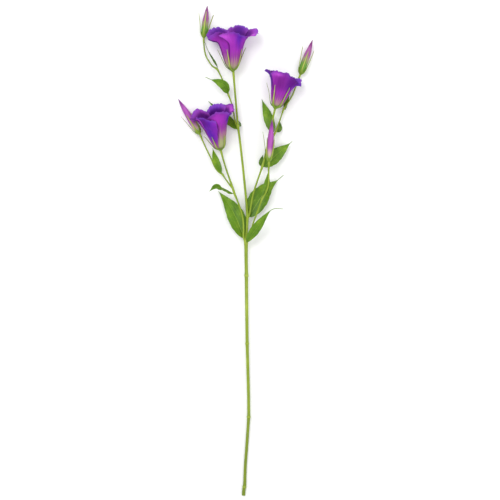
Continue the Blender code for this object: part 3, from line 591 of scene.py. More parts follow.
def stem_finish(name, dark, mid, pale, foot=None):
    """Stem skin: fine lengthwise lines, cloudy green, paler at the nodes; a foot colour, where
    there is one, covers the lowest third."""
    f = Finish(name, roughness=0.48, specular=0.35)
    lines = f.noise(stretch=(26.0, 3.0), rough=0.55)
    cloud = f.noise(42.0, detail=4.0)
    tone = f.math("ADD", f.times(lines, 0.55), f.times(cloud, 0.45))
    body = f.ramp(tone, (0.32, dark), (0.5, mid), (0.70, pale))
    if foot:
        low = f.ramp(f.along, (0.0, 1), (0.28, 0.75), (0.34, 0))
        body = f.tint(body, low, 0.8, foot)
    body = f.tint(body, f.value("node"), 0.55, pale)
    f.bump(lines, 0.4, 0.25)
    return f.finish(body)


def sepal_finish(name, dark, pale):
    """Sepal skin: darker green at the cup, pale yellow-green along the keel to the tip."""
    f = Finish(name, roughness=0.5, specular=0.3)
    lines = f.noise(stretch=(30.0, 3.0))
    away = f.math("ABSOLUTE", f.math("SUBTRACT", f.across, 0.5))
    keel = f.ramp(away, (0.0, 1), (0.42, 0.25))
    body = f.tint(dark, keel, f.ramp(f.along, (0.05, 0.15), (0.4, 1)), pale)
    shade = f.ramp(lines, (0.3, (0.82, 0.85, 0.7)), (0.7, (1.1, 1.08, 1.1)))
    body = f.mix(0.7, body, shade, "MULTIPLY")
    f.bump(lines, 0.3, 0.2)
    return f.finish(body, 0.1)


def bud_finish(name, tip, middle, pale, foot, zones):
    """Furled petals of a bud: green at the foot, pale above it, magenta to dark at the tip;
    zones are the heights where the first three colours sit."""
    f = Finish(name, roughness=0.55, specular=0.25)
    lines = f.noise(stretch=(46.0, 2.0), detail=4.0, rough=0.6)
    height = f.sway(f.along, lines, 0.30)
    body = f.ramp(height, *zip(zones, (foot, pale, middle)), (0.72, middle), (0.95, tip))
    body = f.tint(body, f.value("fold"), 0.55, tip)
    shade = f.ramp(lines, (0.3, (0.80, 0.76, 0.82)), (0.7, (1.12, 1.10, 1.12)))
    body = f.mix(0.8, body, shade, "MULTIPLY")
    f.bump(lines, 0.4, 0.25)
    return f.finish(body, 0.15)


# the lip's own rim colour, and the colour of the painted highlight patches
RIM, PAINTED_HIGHLIGHT = srgb(146, 84, 208), srgb(224, 100, 238)
# in both petal materials fold is the colour of the painted shade
petal_out = petal_finish("petal_outside", magenta=srgb(180, 54, 198), violet=srgb(106, 32, 188),
                         throat=srgb(170, 70, 178), fold=srgb(104, 8, 124),
                         foot=(srgb(192, 198, 138), srgb(190, 138, 160)), glow=0.3)
petal_in = petal_finish("petal_inside", magenta=srgb(176, 64, 188), violet=srgb(120, 48, 196),
                        throat=srgb(120, 30, 150), fold=srgb(84, 12, 128),
                        foot=(srgb(190, 190, 140), srgb(130, 60, 130)), glow=0.2,
                        painted_mouth_shade=0.85)
purple_bud = bud_finish("bud_petals", srgb(128, 48, 138), srgb(180, 90, 182),
                        srgb(208, 178, 176), srgb(168, 206, 128), (0.04, 0.16, 0.34))
green_bud = bud_finish("bud_petals_green", srgb(128, 52, 122), srgb(176, 104, 166),
                       srgb(168, 160, 130), srgb(112, 168, 62), (0.26, 0.42, 0.56))
leaf_skin = leaf_finish("leaf", srgb(66, 106, 4), srgb(98, 142, 10), srgb(134, 168, 30),
                        srgb(152, 182, 60))
# a darker copy of the leaf material for leaves that lie in shade: painted shade
leaf_painted_shade = leaf_finish("leaf_shaded", srgb(52, 88, 14), srgb(80, 120, 28),
                        srgb(112, 148, 50), srgb(136, 166, 70))
stem_skin = stem_finish("main_stem", srgb(98, 120, 20), srgb(130, 150, 34),
                        srgb(164, 182, 68), foot=srgb(104, 124, 18))
branch_skin = stem_finish("branch", srgb(94, 120, 14), srgb(126, 150, 26),
                          srgb(160, 180, 58))
sepal_skin = sepal_finish("sepal", srgb(112, 146, 36), srgb(196, 206, 100))
anther_skin = leaf_finish("anthers", srgb(190, 150, 60), srgb(226, 190, 84),
                          srgb(240, 214, 130), srgb(236, 226, 170))
pistil_skin = leaf_finish("pistil", srgb(116, 150, 60), srgb(150, 180, 84),
                          srgb(188, 206, 120), srgb(206, 216, 150))


# ---------------------------------------------------------------- stems
def stem(node, route, slot, material, root=None, sides=20, cut=False):
    """A circle carried along the smooth route.  Its radius follows the route's own, with five
    faint ribs along the stem; the ends are closed by domes, the cut one by a flatter dome.  The
    lower end starts at a root point inside the stem below, the upper one runs on into the
    bloom.  The point value node is 1 where the stem swells."""
    route = np.asarray(route, dtype=float)
    head, tail = route[-1].copy(), route[0].copy()
    head[:3] += unit(route[-1, :3] - route[-2, :3]) * STEM_INTO_BLOOM
    head[3] *= 0.72
    if root is None:
        tail[:3] += unit(route[0, :3] - route[1, :3]) * 0.05
    else:
        tail[:3] = root
    line = smooth_path(np.vstack([tail, route, head]), 10)
    centre, radius = line[:, :3], line[:, 3]
    tangent = unit(np.gradient(centre, axis=0))
    side = unit(np.cross(tangent, (0.0, 0.0, 1.0)))
    top = np.cross(side, tangent)
    angle = turn_round(sides)
    along = lengths(centre)
    ribs = 1.0 + 0.025 * np.cos(5 * angle + 0.004 * along[:, None])
    grain = 0.05 * np.sin(along[:, None] * 0.9 + 3 * angle) * np.sin(along[:, None] * 0.31)
    ring = centre[:, None] + spokes(side[:, None], top[:, None], angle,
                                    radius[:, None] * ribs + grain)
    calm = np.convolve(np.pad(radius, 12, mode="edge"), np.ones(25) / 25, mode="valid")
    swell = np.clip((radius - calm) / 0.35, 0, 1)
    v = along / along[-1]
    bulge = 0.15 if cut else 0.5
    skin = Skin().grid(ring, ring=True, uv=(angle / (2 * math.pi), v[:, None]),
                       low=centre[0] - tangent[0] * radius[0] * bulge,
                       high=centre[-1] + tangent[-1] * radius[-1] * 0.5,
                       node=swell[:, None])
    return skin.make(node, slot, [material])


# ---------------------------------------------------------------- leaves
def inside_stem(point):
    """The nearest place on the middle lines of the stems."""
    lines = np.vstack([smooth_path(np.asarray(route, float)[:, :3], 40)
                       for route in STEMS.values()])
    return lines[np.argmin(np.linalg.norm(lines - point, axis=1))]


def leaf(node, spine, width, face, fold, seed, material, tail=0.0, twist=0.0, rows=96,
         cols=31):
    """A blade along a smooth midrib, which starts inside its stem.

    Half width = w * sin(pi * s^0.7)^(0.85 + 0.45 s), an ovate outline; a tail, where the leaf
    has one, is a thread beyond the blade.  Each half rises from the rib by the fold angle, its
    edge ripples up and down, and a twisted leaf turns edge-on towards its base."""
    spine = np.asarray(spine, dtype=float)
    root = inside_stem(spine[0])
    foot = max(0.8, np.linalg.norm(root - spine[0]))
    line = smooth_path(np.vstack([root, spine]), 24)
    length = lengths(line)
    s = np.linspace(-foot / (length[-1] - foot), 1, rows)
    where = (s - s[0]) / (1 - s[0]) * length[-1]
    centre = np.stack([np.interp(where, length, line[:, k]) for k in range(3)], -1)
    tangent = unit(np.gradient(centre, axis=0))
    side = unit(np.cross(tangent, np.asarray(face, dtype=float)))
    normal = np.cross(side, tangent)
    turned = np.radians(twist * (1 - rise(s, 0.35, 0.68)))[:, None]
    side, normal = (side * np.cos(turned) + normal * np.sin(turned),
                    normal * np.cos(turned) - side * np.sin(turned))
    s = s[:, None]
    blade = np.clip(s / (1 - tail), 0, 1)
    outline = np.sin(math.pi * blade ** 0.7).clip(0, 1) ** (0.85 + 0.45 * blade)
    t = np.linspace(-1, 1, cols)[None, :]
    half = np.where(t < 0, width[0], width[1])
    crinkle = 1 + 0.02 * np.sin(31 * s + seed) + 0.012 * np.sin(57 * s)
    thread = 0.30 * (1 - rise(s, 0.97, 1.0)) + 0.06 + 0.45 * (1 - rise(s, -0.02, 0.10))
    x = t * np.maximum(half * outline * crinkle, thread)
    lift = np.tan(math.radians(fold)) * (np.sqrt(x ** 2 + 0.25) - 0.5)
    phase = seed * 1.7 + np.where(t < 0, 0.0, 2.1)
    wave = 0.10 * np.abs(t) ** 2.2 * np.sin(2 * math.pi * 1.4 * s + phase)
    frill = 0.03 * np.abs(t) ** 3 * np.sin(2 * math.pi * 4.3 * s + 1.3 * phase)
    quilt = -0.07 * np.cos(VEINS * math.pi * t)
    keel = -0.30 * np.exp(-(x / 0.5) ** 2)
    height = lift + ((wave + frill) * max(width) + quilt) * outline + keel
    points = centre[:, None] + side[:, None] * x[..., None] + normal[:, None] * height[..., None]
    # painted shade, darkest in the fold beside the midrib near the base
    shade = np.exp(-(s / 0.38) ** 2) * (0.35 + 0.65 * np.exp(-(t / 0.6) ** 2))
    skin = Skin().grid(points, uv=((t + 1) / 2, np.clip(s, 0, 1)), shade=shade)
    return skin.make(node, "leaf", [material], LEAF_THICKNESS)


# ---------------------------------------------------------------- flowers
def flower_axes(spec):
    """The foot of a flower, and unit vectors along its axis, to its right and to its front."""
    lean, tilt = math.radians(spec["lean"]), math.radians(spec["tilt"])
    along = np.array([math.sin(lean) * math.cos(tilt), math.cos(lean) * math.cos(tilt),
                      math.sin(tilt)])
    right = np.array([math.cos(lean), -math.sin(lean), 0.0])
    return np.array(spec["foot"], dtype=float), along, right, np.cross(right, along)


def corolla(spec, degrees, s, offset):
    """The shared surface of a flower's petals, moved along its normal by an offset.

    Up to CUP_SHARE it is a cup, a radius over height profile turned around the axis.  Above, a
    cubic Bezier curve runs from the cup's rim to the lip, whose reach, height and direction
    vary smoothly around the mouth, with pleats low down and ripples that grow towards the
    edge."""
    foot, along, right, front = flower_axes(spec)
    degrees, s, offset = np.broadcast_arrays(*(np.asarray(a, float)
                                               for a in (degrees, s, offset)))
    cup = smooth_path(spec["cup"], 10)
    top_h, top_r = spec["cup"][-1]

    def at(angle, share):
        """Cup below CUP_SHARE and lip above it, from the flower's foot."""
        h_cup = top_h * np.minimum(share, CUP_SHARE) / CUP_SHARE
        r_cup = np.interp(h_cup, cup[:, 0], cup[:, 1])
        t = np.clip((share - CUP_SHARE) / (1 - CUP_SHARE), 0, 1.1)
        rim_r, rim_h = around(spec["reach"], angle), around(spec["height"], angle)
        turn = np.radians(around(spec["turn"], angle))
        length = np.hypot(rim_r - top_r, rim_h - top_h) * 0.42
        arrive = length * (1.0 + 0.6 * np.sin(turn) ** 2)
        r1, h1 = top_r + 0.32 * length, top_h + 0.95 * length
        r2, h2 = rim_r - np.cos(turn) * arrive, rim_h - np.sin(turn) * arrive
        u = 1 - t
        r_lip = u ** 3 * top_r + 3 * u * u * t * r1 + 3 * u * t * t * r2 + t ** 3 * rim_r
        h_lip = u ** 3 * top_h + 3 * u * u * t * h1 + 3 * u * t * t * h2 + t ** 3 * rim_h
        r = np.where(share < CUP_SHARE, r_cup, r_lip)
        h = np.where(share < CUP_SHARE, h_cup, h_lip)
        return spokes(right, front, np.radians(angle), r) + along * h[..., None]

    e = 0.004
    up = at(degrees, s + e) - at(degrees, s - e)
    turn_way = at(degrees + 0.5, s) - at(degrees - 0.5, s)
    normal = unit(np.cross(up, turn_way))
    a = np.radians(degrees)
    outward = spokes(right, front, a) - along * 0.4
    flip = np.where(np.sum(normal * outward, -1) < 0, -1.0, 1.0)
    ripples = ripple(a, spec["seed"], RIPPLES) * rise(s, 0.62, 1.0) ** 1.5
    pleats = 0.22 * np.sin(a * 20 + 2.0 * s) * rise(s, 0.05, 0.3) * (1 - rise(s, 0.6, 0.95))
    return foot + at(degrees, s) + normal * (flip * (offset + ripples + pleats))[..., None]


def half_width(s, waist, span, flare):
    """Degrees from a petal's middle to its edge, at length share s."""
    grown = PETAL_FOOT_ANGLE + (waist - PETAL_FOOT_ANGLE) * np.minimum(1.0, s / 0.5)
    return grown + (span - waist) * rise(s, *flare)


def fold_shade(spec, number, degrees, s):
    """Painted shade: 1 where a petal goes under a neighbour's edge, fading over 9 degrees beyond
    the edge and above the neighbour's own rim."""
    deep = np.zeros_like(degrees)
    for step, side in ((-1, 1), (1, 0)):
        other = (number + step) % 5
        if spec["laps"][other][side] < 0:
            continue
        centre = spec["petals"][other][0]
        here = spec["petals"][number][0]
        centre = centre + 360.0 * round((here + step * 72.0 - centre) / 360.0)
        edge = centre - step * half_width(s, spec["waist"][other][side],
                                          spec["petals"][other][1 + side], spec["flare"])
        beyond = np.maximum(0.0, (edge - degrees) * step)
        across = np.abs(degrees - centre) / np.abs(edge - centre)
        rim = 1 - spec["petals"][other][3 + side] * np.minimum(across, 1.3) ** FALL_POWER
        below = 1 - rise(s, rim - 0.06, rim + 0.02)
        deep = np.maximum(deep, np.exp(-(beyond / 9.0) ** 3) * below)
    return deep * rise(s, 0.1, 0.4)


def patches(spots, t, share):
    """Soft oval patches, each a bell curve across the petal times one along it."""
    total = sum((np.exp(-((t - t0) / t_wide) ** 2 - ((share - s0) / s_wide) ** 2)
                 for t0, t_wide, s0, s_wide in spots), 0 * t * share)
    return np.minimum(total, 1)


def petal(node, spec, number, materials, rows=96, cols=97):
    """One petal of the corolla.

    Half width in degrees grows from the foot to the waist and on to the rim.  An edge that
    laps over its neighbour stands proud and curls out a little, a tucked one lies beneath.
    The top falls away to both sides and its edge is crinkled by sums of sines."""
    centre, right_span, left_span, right_fall, left_fall = spec["petals"][number]
    right_waist, left_waist = spec["waist"][number]
    right_lap, left_lap = spec["laps"][number]
    right_curl, left_curl = spec["curls"][number]
    seed = spec["seed"] * 10 + number
    t = np.linspace(-1, 1, cols)[None, :]
    share = (np.linspace(0, 1, rows) ** 0.9)[:, None]
    out = np.abs(t)  # 0 at the petal's middle, 1 at its edges
    span = np.where(t < 0, right_span, left_span)
    waist = np.where(t < 0, right_waist, left_waist)
    fall = np.where(t < 0, right_fall * out ** spec["fall_power"][number],
                    left_fall * out ** FALL_POWER)
    notch = ripple(t * math.pi, seed, ((3, 0.008), (7, 0.006), (13, 0.004), (21, 0.002)))
    s = share * (1.0 - fall + (notch - 0.01) * share)
    half = half_width(s, waist, span, spec["flare"])
    wobble = ripple(share * 9.0, seed + 5, ((1, 0.012), (3, 0.008)))
    degrees = centre + t * half * (1 + wobble * out)
    lap = np.where(t < 0, right_lap, left_lap)
    curl = np.where(t < 0, right_curl, left_curl)
    offset = lap * PETAL_NEST / 72.0 * half * out
    proud = 2.4 * np.maximum(0, out - 0.3) ** 2 * np.maximum(0, s - 0.45)
    offset = offset + np.where(lap > 0, proud, 0.0)
    offset = offset + curl * np.maximum(0, out - 0.45) ** 2 * rise(s, 0.45, 0.9)
    edge = rise(share, 0.86, 1.0)
    fine = ripple(t * math.pi, seed + 9, ((5, 0.30), (9, 0.26), (15, 0.12), (27, 0.05)))
    offset = offset + fine * edge ** 2
    crumple = np.sin(7 * t + 3 * share + seed) * np.sin(11 * share + 4 * t + 2.3 * seed)
    offset = offset + 0.3 * crumple * rise(share, 0.45, 0.9) * (1 - t ** 2)
    points = corolla(spec, degrees, s, offset)
    rim = np.clip(edge * 0.9 + rise(out, 0.92, 1.0) * 0.5 * rise(share, 0.3, 0.7), 0, 1)
    blue_at, blue_wide = spec["blues"][number]
    blue_from = spec["blue_from"][number]
    blue = np.exp(-((t - blue_at) / blue_wide) ** 2) * rise(share, blue_from, blue_from + 0.4)
    # these point values include painted shade under a neighbour's edge, patches of painted shade
    # and patches of painted highlight
    skin = Skin().grid(points, uv=((t + 1) / 2, share), rim=rim, blue=blue,
                       deep=fold_shade(spec, number, degrees, s), pale=spec["pales"][number],
                       light=patches(spec["lights"].get(number, ()), t, share),
                       dusk=patches(spec["dusks"].get(number, ()), t, share))
    return skin.make(node, "petal", materials, PETAL_THICKNESS, flip=True)


def calyx_cup(skin, bowl, cols, pole):
    """Rings of points from the stem's end up, closed by a pole, with five sepals' columns."""
    across = np.broadcast_to((np.arange(5 * cols)[None, :] % cols) / cols, bowl.shape[:2])
    skin.grid(bowl, ring=True, low=pole,
              uv=(across, np.linspace(0, CUP_UV, len(bowl))[:, None]))


def sepal_angle(share, radius, half_width_mm, power, root):
    """Half of a sepal's angle: a tenth of a turn where it leaves the cup, then within a few
    millimetres its own half width, which runs to a point."""
    width = SEPAL_TIP + (half_width_mm - SEPAL_TIP) * (1 - share) ** power
    half = np.degrees(width / radius)
    return half + (SEPAL_SPREAD - half) * np.exp(-(share / root) ** 1.2)


def flower_calyx(node, spec, cols=14, rows=44):
    """A shallow cup that rises from the stem's end and follows the corolla's foot, with five
    sepals drawn out of its rim.  A sepal follows the corolla's cup and then runs straight on;
    its middle stands out as a keel, and its tip leans away."""
    foot, along, right, front = flower_axes(spec)
    top_h = spec["cup"][-1][0]
    cup = smooth_path(spec["cup"], 10)
    cup_share = CUP_SHARE * CALYX_CUP / top_h
    skin = Skin()
    ring = (spec["first_sepal"] - SEPAL_SPREAD
            + np.arange(5 * cols)[None, :] * 360.0 / (5 * cols))
    out = spokes(right, front, np.radians(ring))
    top = corolla(spec, ring, cup_share, SEPAL_CLEARANCE) - foot
    neck = smooth_path([(-1.8, 1.3), (-1.4, 1.6), (-0.8, 2.2), (-0.1, 3.0), (0.9, 4.1)], 4)
    bowl = foot + out * neck[:, 1][:, None, None] + along * neck[:, 0][:, None, None]
    lip = np.linspace(0, 1, 5)[1:, None, None]
    lip_r = neck[-1, 1] + (np.sum(top * out, -1)[..., None] - neck[-1, 1]) * lip
    lip_h = neck[-1, 0] + ((top @ along)[..., None] - neck[-1, 0]) * lip
    bowl = np.concatenate([bowl, foot + out * lip_r + along * lip_h])
    calyx_cup(skin, bowl, cols, foot - along * 1.9)
    t = np.linspace(-1, 1, cols + 1)[None, :]
    share = (np.linspace(0, 1, rows) ** 1.3)[:, None]
    keel = 0.4 * (1 - np.abs(t)) * rise(share, 0.0, 0.12) * (1 - share)
    for k in range(5):
        s = cup_share + (CUP_SHARE * spec["sepals"][k] / top_h - cup_share) * share
        radius = np.interp(np.minimum(s, CUP_SHARE) * top_h / CUP_SHARE, cup[:, 0], cup[:, 1])
        half = sepal_angle(share, radius + SEPAL_CLEARANCE, spec["sepal_half"], 0.6, 0.05)
        blade = corolla(spec, spec["first_sepal"] + 72.0 * k + t * half,
                        np.minimum(s, CUP_SHARE),
                        SEPAL_CLEARANCE + spec["splays"][k] * share ** 1.8 + keel)
        straight = np.maximum(0.0, s - CUP_SHARE) * top_h / CUP_SHARE
        blade = blade + along * np.broadcast_to(straight, blade.shape[:2])[..., None]
        skin.grid(blade, uv=((t + 1) / 2, CUP_UV + (1 - CUP_UV) * share))
    return skin.make(node, "sepal", [sepal_skin], SEPAL_THICKNESS, weld=True)


def stamens(node, spec, material):
    """Five filaments on a low ring: each is a thin tube bowed outward by a sine, whose last
    fifth swells into a long anther."""
    foot, along, right, front = flower_axes(spec)
    top_h = spec["cup"][-1][0]
    ring_r, ring_h, ring_wire = 4.6, 6.5, 0.5
    skin = Skin()
    tube = turn_round(12)
    wheel = spokes(right, front, turn_round(60).T)
    torus = (foot + wheel * (ring_r + ring_wire * np.cos(tube))[..., None]
             + along * (ring_h + ring_wire * np.sin(tube))[..., None])
    torus = np.vstack([torus, torus[:1]])
    skin.grid(torus, ring=True, uv=(tube / 7, np.zeros((61, 1))))
    s = np.linspace(0, 1, 40)[:, None]
    height = ring_h + 0.1 + (top_h - 10.0) * s
    away = ring_r + 2.6 * np.sin(s * 2.2)
    width = 0.38 + 1.1 * rise(s, 0.78, 0.84) * (1 - rise(s, 0.97, 1.0))
    for k in range(5):
        angle = 2 * math.pi * (k + 0.5) / 5
        way = right * math.cos(angle) + front * math.sin(angle)
        points = (foot + along * height[..., None] + way * away[..., None]
                  + spokes(way * 0.7, np.cross(way, along), tube, width))
        skin.grid(points, ring=True, low=points[0].mean(0), high=points[-1].mean(0),
                  uv=(tube / 7, 0.1 + 0.9 * s))
    return skin.make(node, "stamen", [material], weld=True)


def pistil(node, spec, material):
    """Ovary, style and stigma turned on the flower's axis; the stigma is two broad lobes,
    widened by the cosine of the angle."""
    foot, along, right, front = flower_axes(spec)
    top_h = spec["cup"][-1][0]
    profile = smooth_path([(1.6, 0.7), (3.0, 1.9), (6.5, 2.2), (11.0, 1.6), (15.0, 0.9),
                           (top_h - 12.5, 0.8), (top_h - 10.5, 1.6), (top_h - 9.0, 2.1),
                           (top_h - 8.0, 1.3)], 8)
    a = turn_round(24)
    h, r = profile[:, :1], profile[:, 1:]
    lobes = 1 + 0.45 * np.abs(np.cos(a)) * rise(h, top_h - 12.5, top_h - 10.0)
    points = (foot + along * h[..., None] + right * (np.cos(a) * r * lobes)[..., None]
              + front * (np.sin(a) * r)[..., None])
    skin = Skin().grid(points, ring=True, low=points[0].mean(0), high=points[-1].mean(0))
    return skin.make(node, "pistil", [material])


# ---------------------------------------------------------------- buds
BUD_PROFILE = [(0.0, 0.5), (0.06, 0.78), (0.17, 0.96), (0.32, 1.0), (0.5, 0.94), (0.64, 0.81),
               (0.77, 0.6), (0.88, 0.36), (0.96, 0.14)]


def bud_axes(spec):
    """A bud's foot and tip, and unit vectors along its axis, to its right and to its front."""
    foot, tip = np.array(spec["foot"], float), np.array(spec["tip"], float)
    along = unit(tip - foot)
    right = unit(np.cross(along, (0.0, 0.0, 1.0)))
    return foot, tip, along, right, np.cross(right, along)


def bud_radius(spec, h):
    """The bud's radius at a height: its greatest radius times the common profile."""
    foot, tip = bud_axes(spec)[:2]
    line = smooth_path(BUD_PROFILE, 8)
    return spec["radius"] * np.interp(np.asarray(h) / float(np.linalg.norm(tip - foot)),
                                      line[:, 0], line[:, 1])


def bud_at(spec, degrees, h, offset):
    """A point at an azimuth and a height on the bud's turned profile, moved outward."""
    foot, tip, along, right, front = bud_axes(spec)
    a = np.radians(np.asarray(degrees, dtype=float))
    reach = np.broadcast_to(bud_radius(spec, h) + offset, a.shape)
    return foot + spokes(right, front, a, reach) + along * np.broadcast_to(h, a.shape)[..., None]


def bud(node, spec, material, rows=90, cols=100):
    """The furled corolla: a spindle whose radius steps down at five edges that wind round it,
    so each petal's edge lies over the next."""
    foot, tip, along, right, front = bud_axes(spec)
    s = np.linspace(0, 0.985, rows)[:, None]
    degrees = np.linspace(0, 360, cols, endpoint=False)[None, :] + 0 * s
    wind = (degrees / 72.0 + 1.15 * s + spec["first_sepal"] / 72.0) % 1.0
    step = 0.3 - rise(wind, 0.0, 0.9) + rise(wind, 0.93, 1.0)
    amount = 0.55 * rise(s, 0.12, 0.4) * (1 - rise(s, 0.86, 1.0) * 0.7)
    points = bud_at(spec, degrees, s * float(np.linalg.norm(tip - foot)), step * amount)
    fold = np.clip(1 - np.minimum(wind, 1 - wind) / 0.10, 0, 1) * rise(s, 0.2, 0.5)
    skin = Skin().grid(points, ring=True, low=foot + along * 0.1, high=tip,
                       uv=(degrees / 360.0, s), fold=fold)
    return skin.make(node, "bud", [material])


def bud_calyx(node, spec, cols=12, rows=40):
    """A small cup with five narrow sepals, some hugging the bud and some leaning well out; a
    sepal's middle stands out as a keel."""
    foot, tip, along, right, front = bud_axes(spec)
    skin = Skin()
    ring = (spec["first_sepal"] - SEPAL_SPREAD
            + np.arange(5 * cols)[None, :] * 360.0 / (5 * cols))
    low = np.linspace(0, 1, 7)[:, None]
    bowl = bud_at(spec, ring + 0 * low, BUD_CUP * low, 0.35 + 0.45 * low)
    down = np.array([1.5, 1.3, 1.0, 0.6, 0.25])[:, None, None]
    neck_r = np.array([1.0, 1.4, 1.75, 2.15, 2.5])[:, None]
    neck = foot + spokes(right, front, np.radians(ring), neck_r) - along * down
    calyx_cup(skin, np.concatenate([neck, bowl]), cols, foot - along * 1.6)
    t = np.linspace(-1, 1, cols + 1)[None, :]
    share = (np.linspace(0, 1, rows) ** 1.2)[:, None]
    keel = 0.35 * (1 - np.abs(t)) * rise(share, 0.0, 0.15) * (1 - share)
    for k in range(5):
        middle = spec["first_sepal"] + 72.0 * k + spec["drifts"][k] * share ** 0.7
        h = BUD_CUP + (spec["sepals"][k] - BUD_CUP) * share
        half = sepal_angle(share, bud_radius(spec, h) + 1.0, BUD_SEPAL_HALF, 0.55, 0.08)
        blade = bud_at(spec, middle + t * half, h, 0.8 + spec["splays"][k] * share ** 1.7 + keel)
        skin.grid(blade, uv=((t + 1) / 2, CUP_UV + (1 - CUP_UV) * share))
    return skin.make(node, "sepal", [sepal_skin], BUD_SEPAL_THICKNESS, weld=True)


# ---------------------------------------------------------------- assembly
# What only the looks need of a flower, petal by petal: curls is how far each edge curls out,
# pales lifts (+) or lowers (-) the pale foot, blues is where across the petal it turns violet
# and how widely, blue_from the height where that starts; the last two tables are patches of
# painted highlight and of painted shade, each its place and breadth across, then its place and
# breadth along.
# sepal_half is half a sepal's width in mm, fall_power how late a petal's right side falls away.
FLOWERS["top"].update(
    seed=3, sepal_half=1.1, fall_power=(2.5, 2.5, 2.5, 2.5, 2.5),
    curls=((1, 1), (1, 9), (0, 1), (1, 1), (1, 1)), pales=(0.0, 0.0, 0.06, 0.0, 0.0),
    blues=((0.2, 0.5), (-0.45, 0.4), (0.9, 0.3), (0.0, 0.6), (0.3, 0.5)),
    blue_from=(1.3, 0.4, 0.4, 0.4, 0.4),
    lights={0: ((0.35, 0.35, 0.93, 0.06),), 1: ((0.72, 0.30, 0.90, 0.12),)},
    dusks={0: ((-0.9, 0.3, 1.0, 0.3),), 2: ((-0.35, 0.5, 0.86, 0.16),),
           3: ((0.1, 0.8, 0.92, 0.05),), 4: ((0.1, 0.7, 0.92, 0.06),)})
FLOWERS["left"].update(
    seed=5, sepal_half=1.0, fall_power=(2.5, 2.5, 1.5, 2.5, 2.5),
    curls=((1, 1), (1, 0), (2, 3), (0, 1), (1, 1)), pales=(0.0, 0.16, -0.10, -0.1, 0.0),
    blues=((0.0, 0.3), (-0.9, 0.3), (-0.15, 0.9), (0.9, 0.3), (0.0, 0.8)),
    blue_from=(1.3, 0.4, -0.1, 1.3, 0.4),
    lights={0: ((0.1, 0.4, 0.93, 0.06),), 2: ((0.9, 0.12, 0.75, 0.4),)},
    dusks={0: ((0.0, 0.8, 1.0, 0.06),), 1: ((0.8, 0.35, 0.92, 0.12),),
           2: ((-0.1, 0.4, 0.78, 0.16),), 3: ((-0.9, 0.5, 0.8, 0.7),) * 2})
FLOWERS["right"].update(
    seed=8, sepal_half=1.0, fall_power=(2.5, 2.5, 2.5, 2.5, 2.5),
    curls=((1, 1), (1, 3), (0, 1), (1, 1), (1, 1)), pales=(-0.06, -0.04, -0.06, 0.0, 0.0),
    blues=((0.0, 0.7), (-0.8, 0.4), (0.0, 0.6), (0.0, 0.5), (0.2, 0.5)),
    blue_from=(0.4, 0.4, 0.3, 0.4, 0.4),
    lights={1: ((0.5, 0.35, 0.92, 0.05),)},
    dusks={1: ((0.15, 0.75, 0.70, 0.24), (-0.85, 0.4, 0.9, 0.3)),
           2: ((-0.6, 0.5, 0.8, 0.3),)})

# Where each branch starts, inside the stem that carries it.
ROOTS = {"centre_branch": (0.4, 13.0, 12.5), "top_bud_branch": (-11.8, 176.6, 12.2),
         "left_branch": (-0.9, 13.4, 12.8), "left_bud_stalk": (-19.4, 89.6, 17.2),
         "right_branch": (2.6, 45.5, 14.0), "right_bud_stalk": (29.2, 137.6, 17.4),
         "front_bud_stalk": (2.0, 12.4, 12.8)}
for name, route in STEMS.items():
    if name == "main_stem":
        stem(name, route, "stem", stem_skin, sides=28, cut=True)
    else:
        stem(name, route, "branch", branch_skin, root=ROOTS[name])

# Leaves with painted shade (a darker copy of the leaf green), the share of a leaf that is a
# thread, and degrees of twist.
SHADED = ("right_bract", "centre_leaf_right", "right_stalk_leaf_right",
          "right_branch_leaf_small", "top_bract")
TAILS = {"whorl_leaf_right": 0.22, "fork_leaf": 0.13, "top_branch_leaf": 0.2,
         "right_branch_leaf": 0.06, "top_bract": 0.3}
TWISTS = {"left_branch_leaf": 66.0}
for seed, (name, spec) in enumerate(LEAVES.items()):
    leaf(name, seed=seed, material=leaf_painted_shade if name in SHADED else leaf_skin,
         tail=TAILS.get(name, 0.0), twist=TWISTS.get(name, 0.0), **spec)

for name, spec in FLOWERS.items():
    for number in range(5):
        petal(f"{name}_petal_{number + 1}", spec, number, [petal_out, petal_in])
    flower_calyx(f"{name}_flower_calyx", spec)
    stamens(f"{name}_flower_stamens", spec, anther_skin)
    pistil(f"{name}_flower_pistil", spec, pistil_skin)

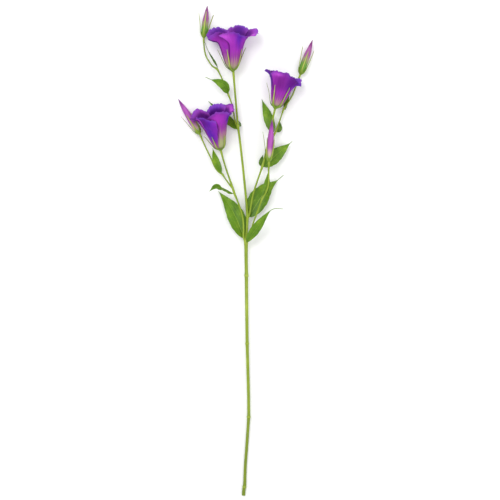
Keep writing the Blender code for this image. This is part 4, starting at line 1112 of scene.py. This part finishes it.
for name, spec in BUDS.items():
    bud(f"{name}_bud", spec, green_bud if name in ("top", "right") else purple_bud)
    bud_calyx(f"{name}_bud_calyx", spec)


# ---------------------------------------------------------------- floor, light and camera
def floor():
    """A plain pale square floor."""
    half = 4.0  # metres
    mesh = bpy.data.meshes.new("floor")
    mesh.from_pydata([(-half, -half, 0), (half, -half, 0), (half, half, 0), (-half, half, 0)],
                     [], [(0, 1, 2, 3)])
    plain = bpy.data.materials.new("floor")
    plain.use_nodes = True
    shader = plain.node_tree.nodes["Principled BSDF"]
    shader.inputs["Base Color"].default_value = (0.93, 0.93, 0.93, 1.0)
    shader.inputs["Roughness"].default_value = 0.9
    shader.inputs["Specular IOR Level"].default_value = 0.0
    mesh.materials.append(plain)
    obj = bpy.data.objects.new("floor", mesh)
    obj.location.z = -0.5 * MM
    bpy.context.scene.collection.objects.link(obj)


def softbox(name, place, aim, size, energy):
    """A square soft light that looks at a point."""
    data = bpy.data.lights.new(name, "AREA")
    data.shape = "SQUARE"
    data.size = size
    data.energy = energy
    obj = bpy.data.objects.new(name, data)
    obj.location = place
    obj.rotation_euler = (Vector(aim) - Vector(place)).to_track_quat("-Z", "Y").to_euler()
    bpy.context.scene.collection.objects.link(obj)


floor()
softbox("key", (-0.7, 0.9, 2.2), (0.0, 0.15, 0.0), 1.1, 22.0)
softbox("fill", (0.9, -0.4, 2.2), (0.0, 0.1, 0.0), 1.6, 14.0)

world = bpy.data.worlds.new("studio")
world.use_nodes = True
world.node_tree.nodes["Background"].inputs["Color"].default_value = (1.0, 1.0, 1.0, 1.0)
world.node_tree.nodes["Background"].inputs["Strength"].default_value = 0.85
scene = bpy.context.scene
scene.world = world
scene.view_settings.view_transform = "Standard"

VIEW_HEIGHT = 2.4  # metres
lens = bpy.data.cameras.new("camera")
lens.sensor_width = 36.0
lens.lens = 120.96  # mm: from that height the view is 0.714 m across
lens.clip_end = 20.0
camera = bpy.data.objects.new("camera", lens)
camera.location = (0.0061, 0.00165, VIEW_HEIGHT)
scene.collection.objects.link(camera)
scene.camera = camera
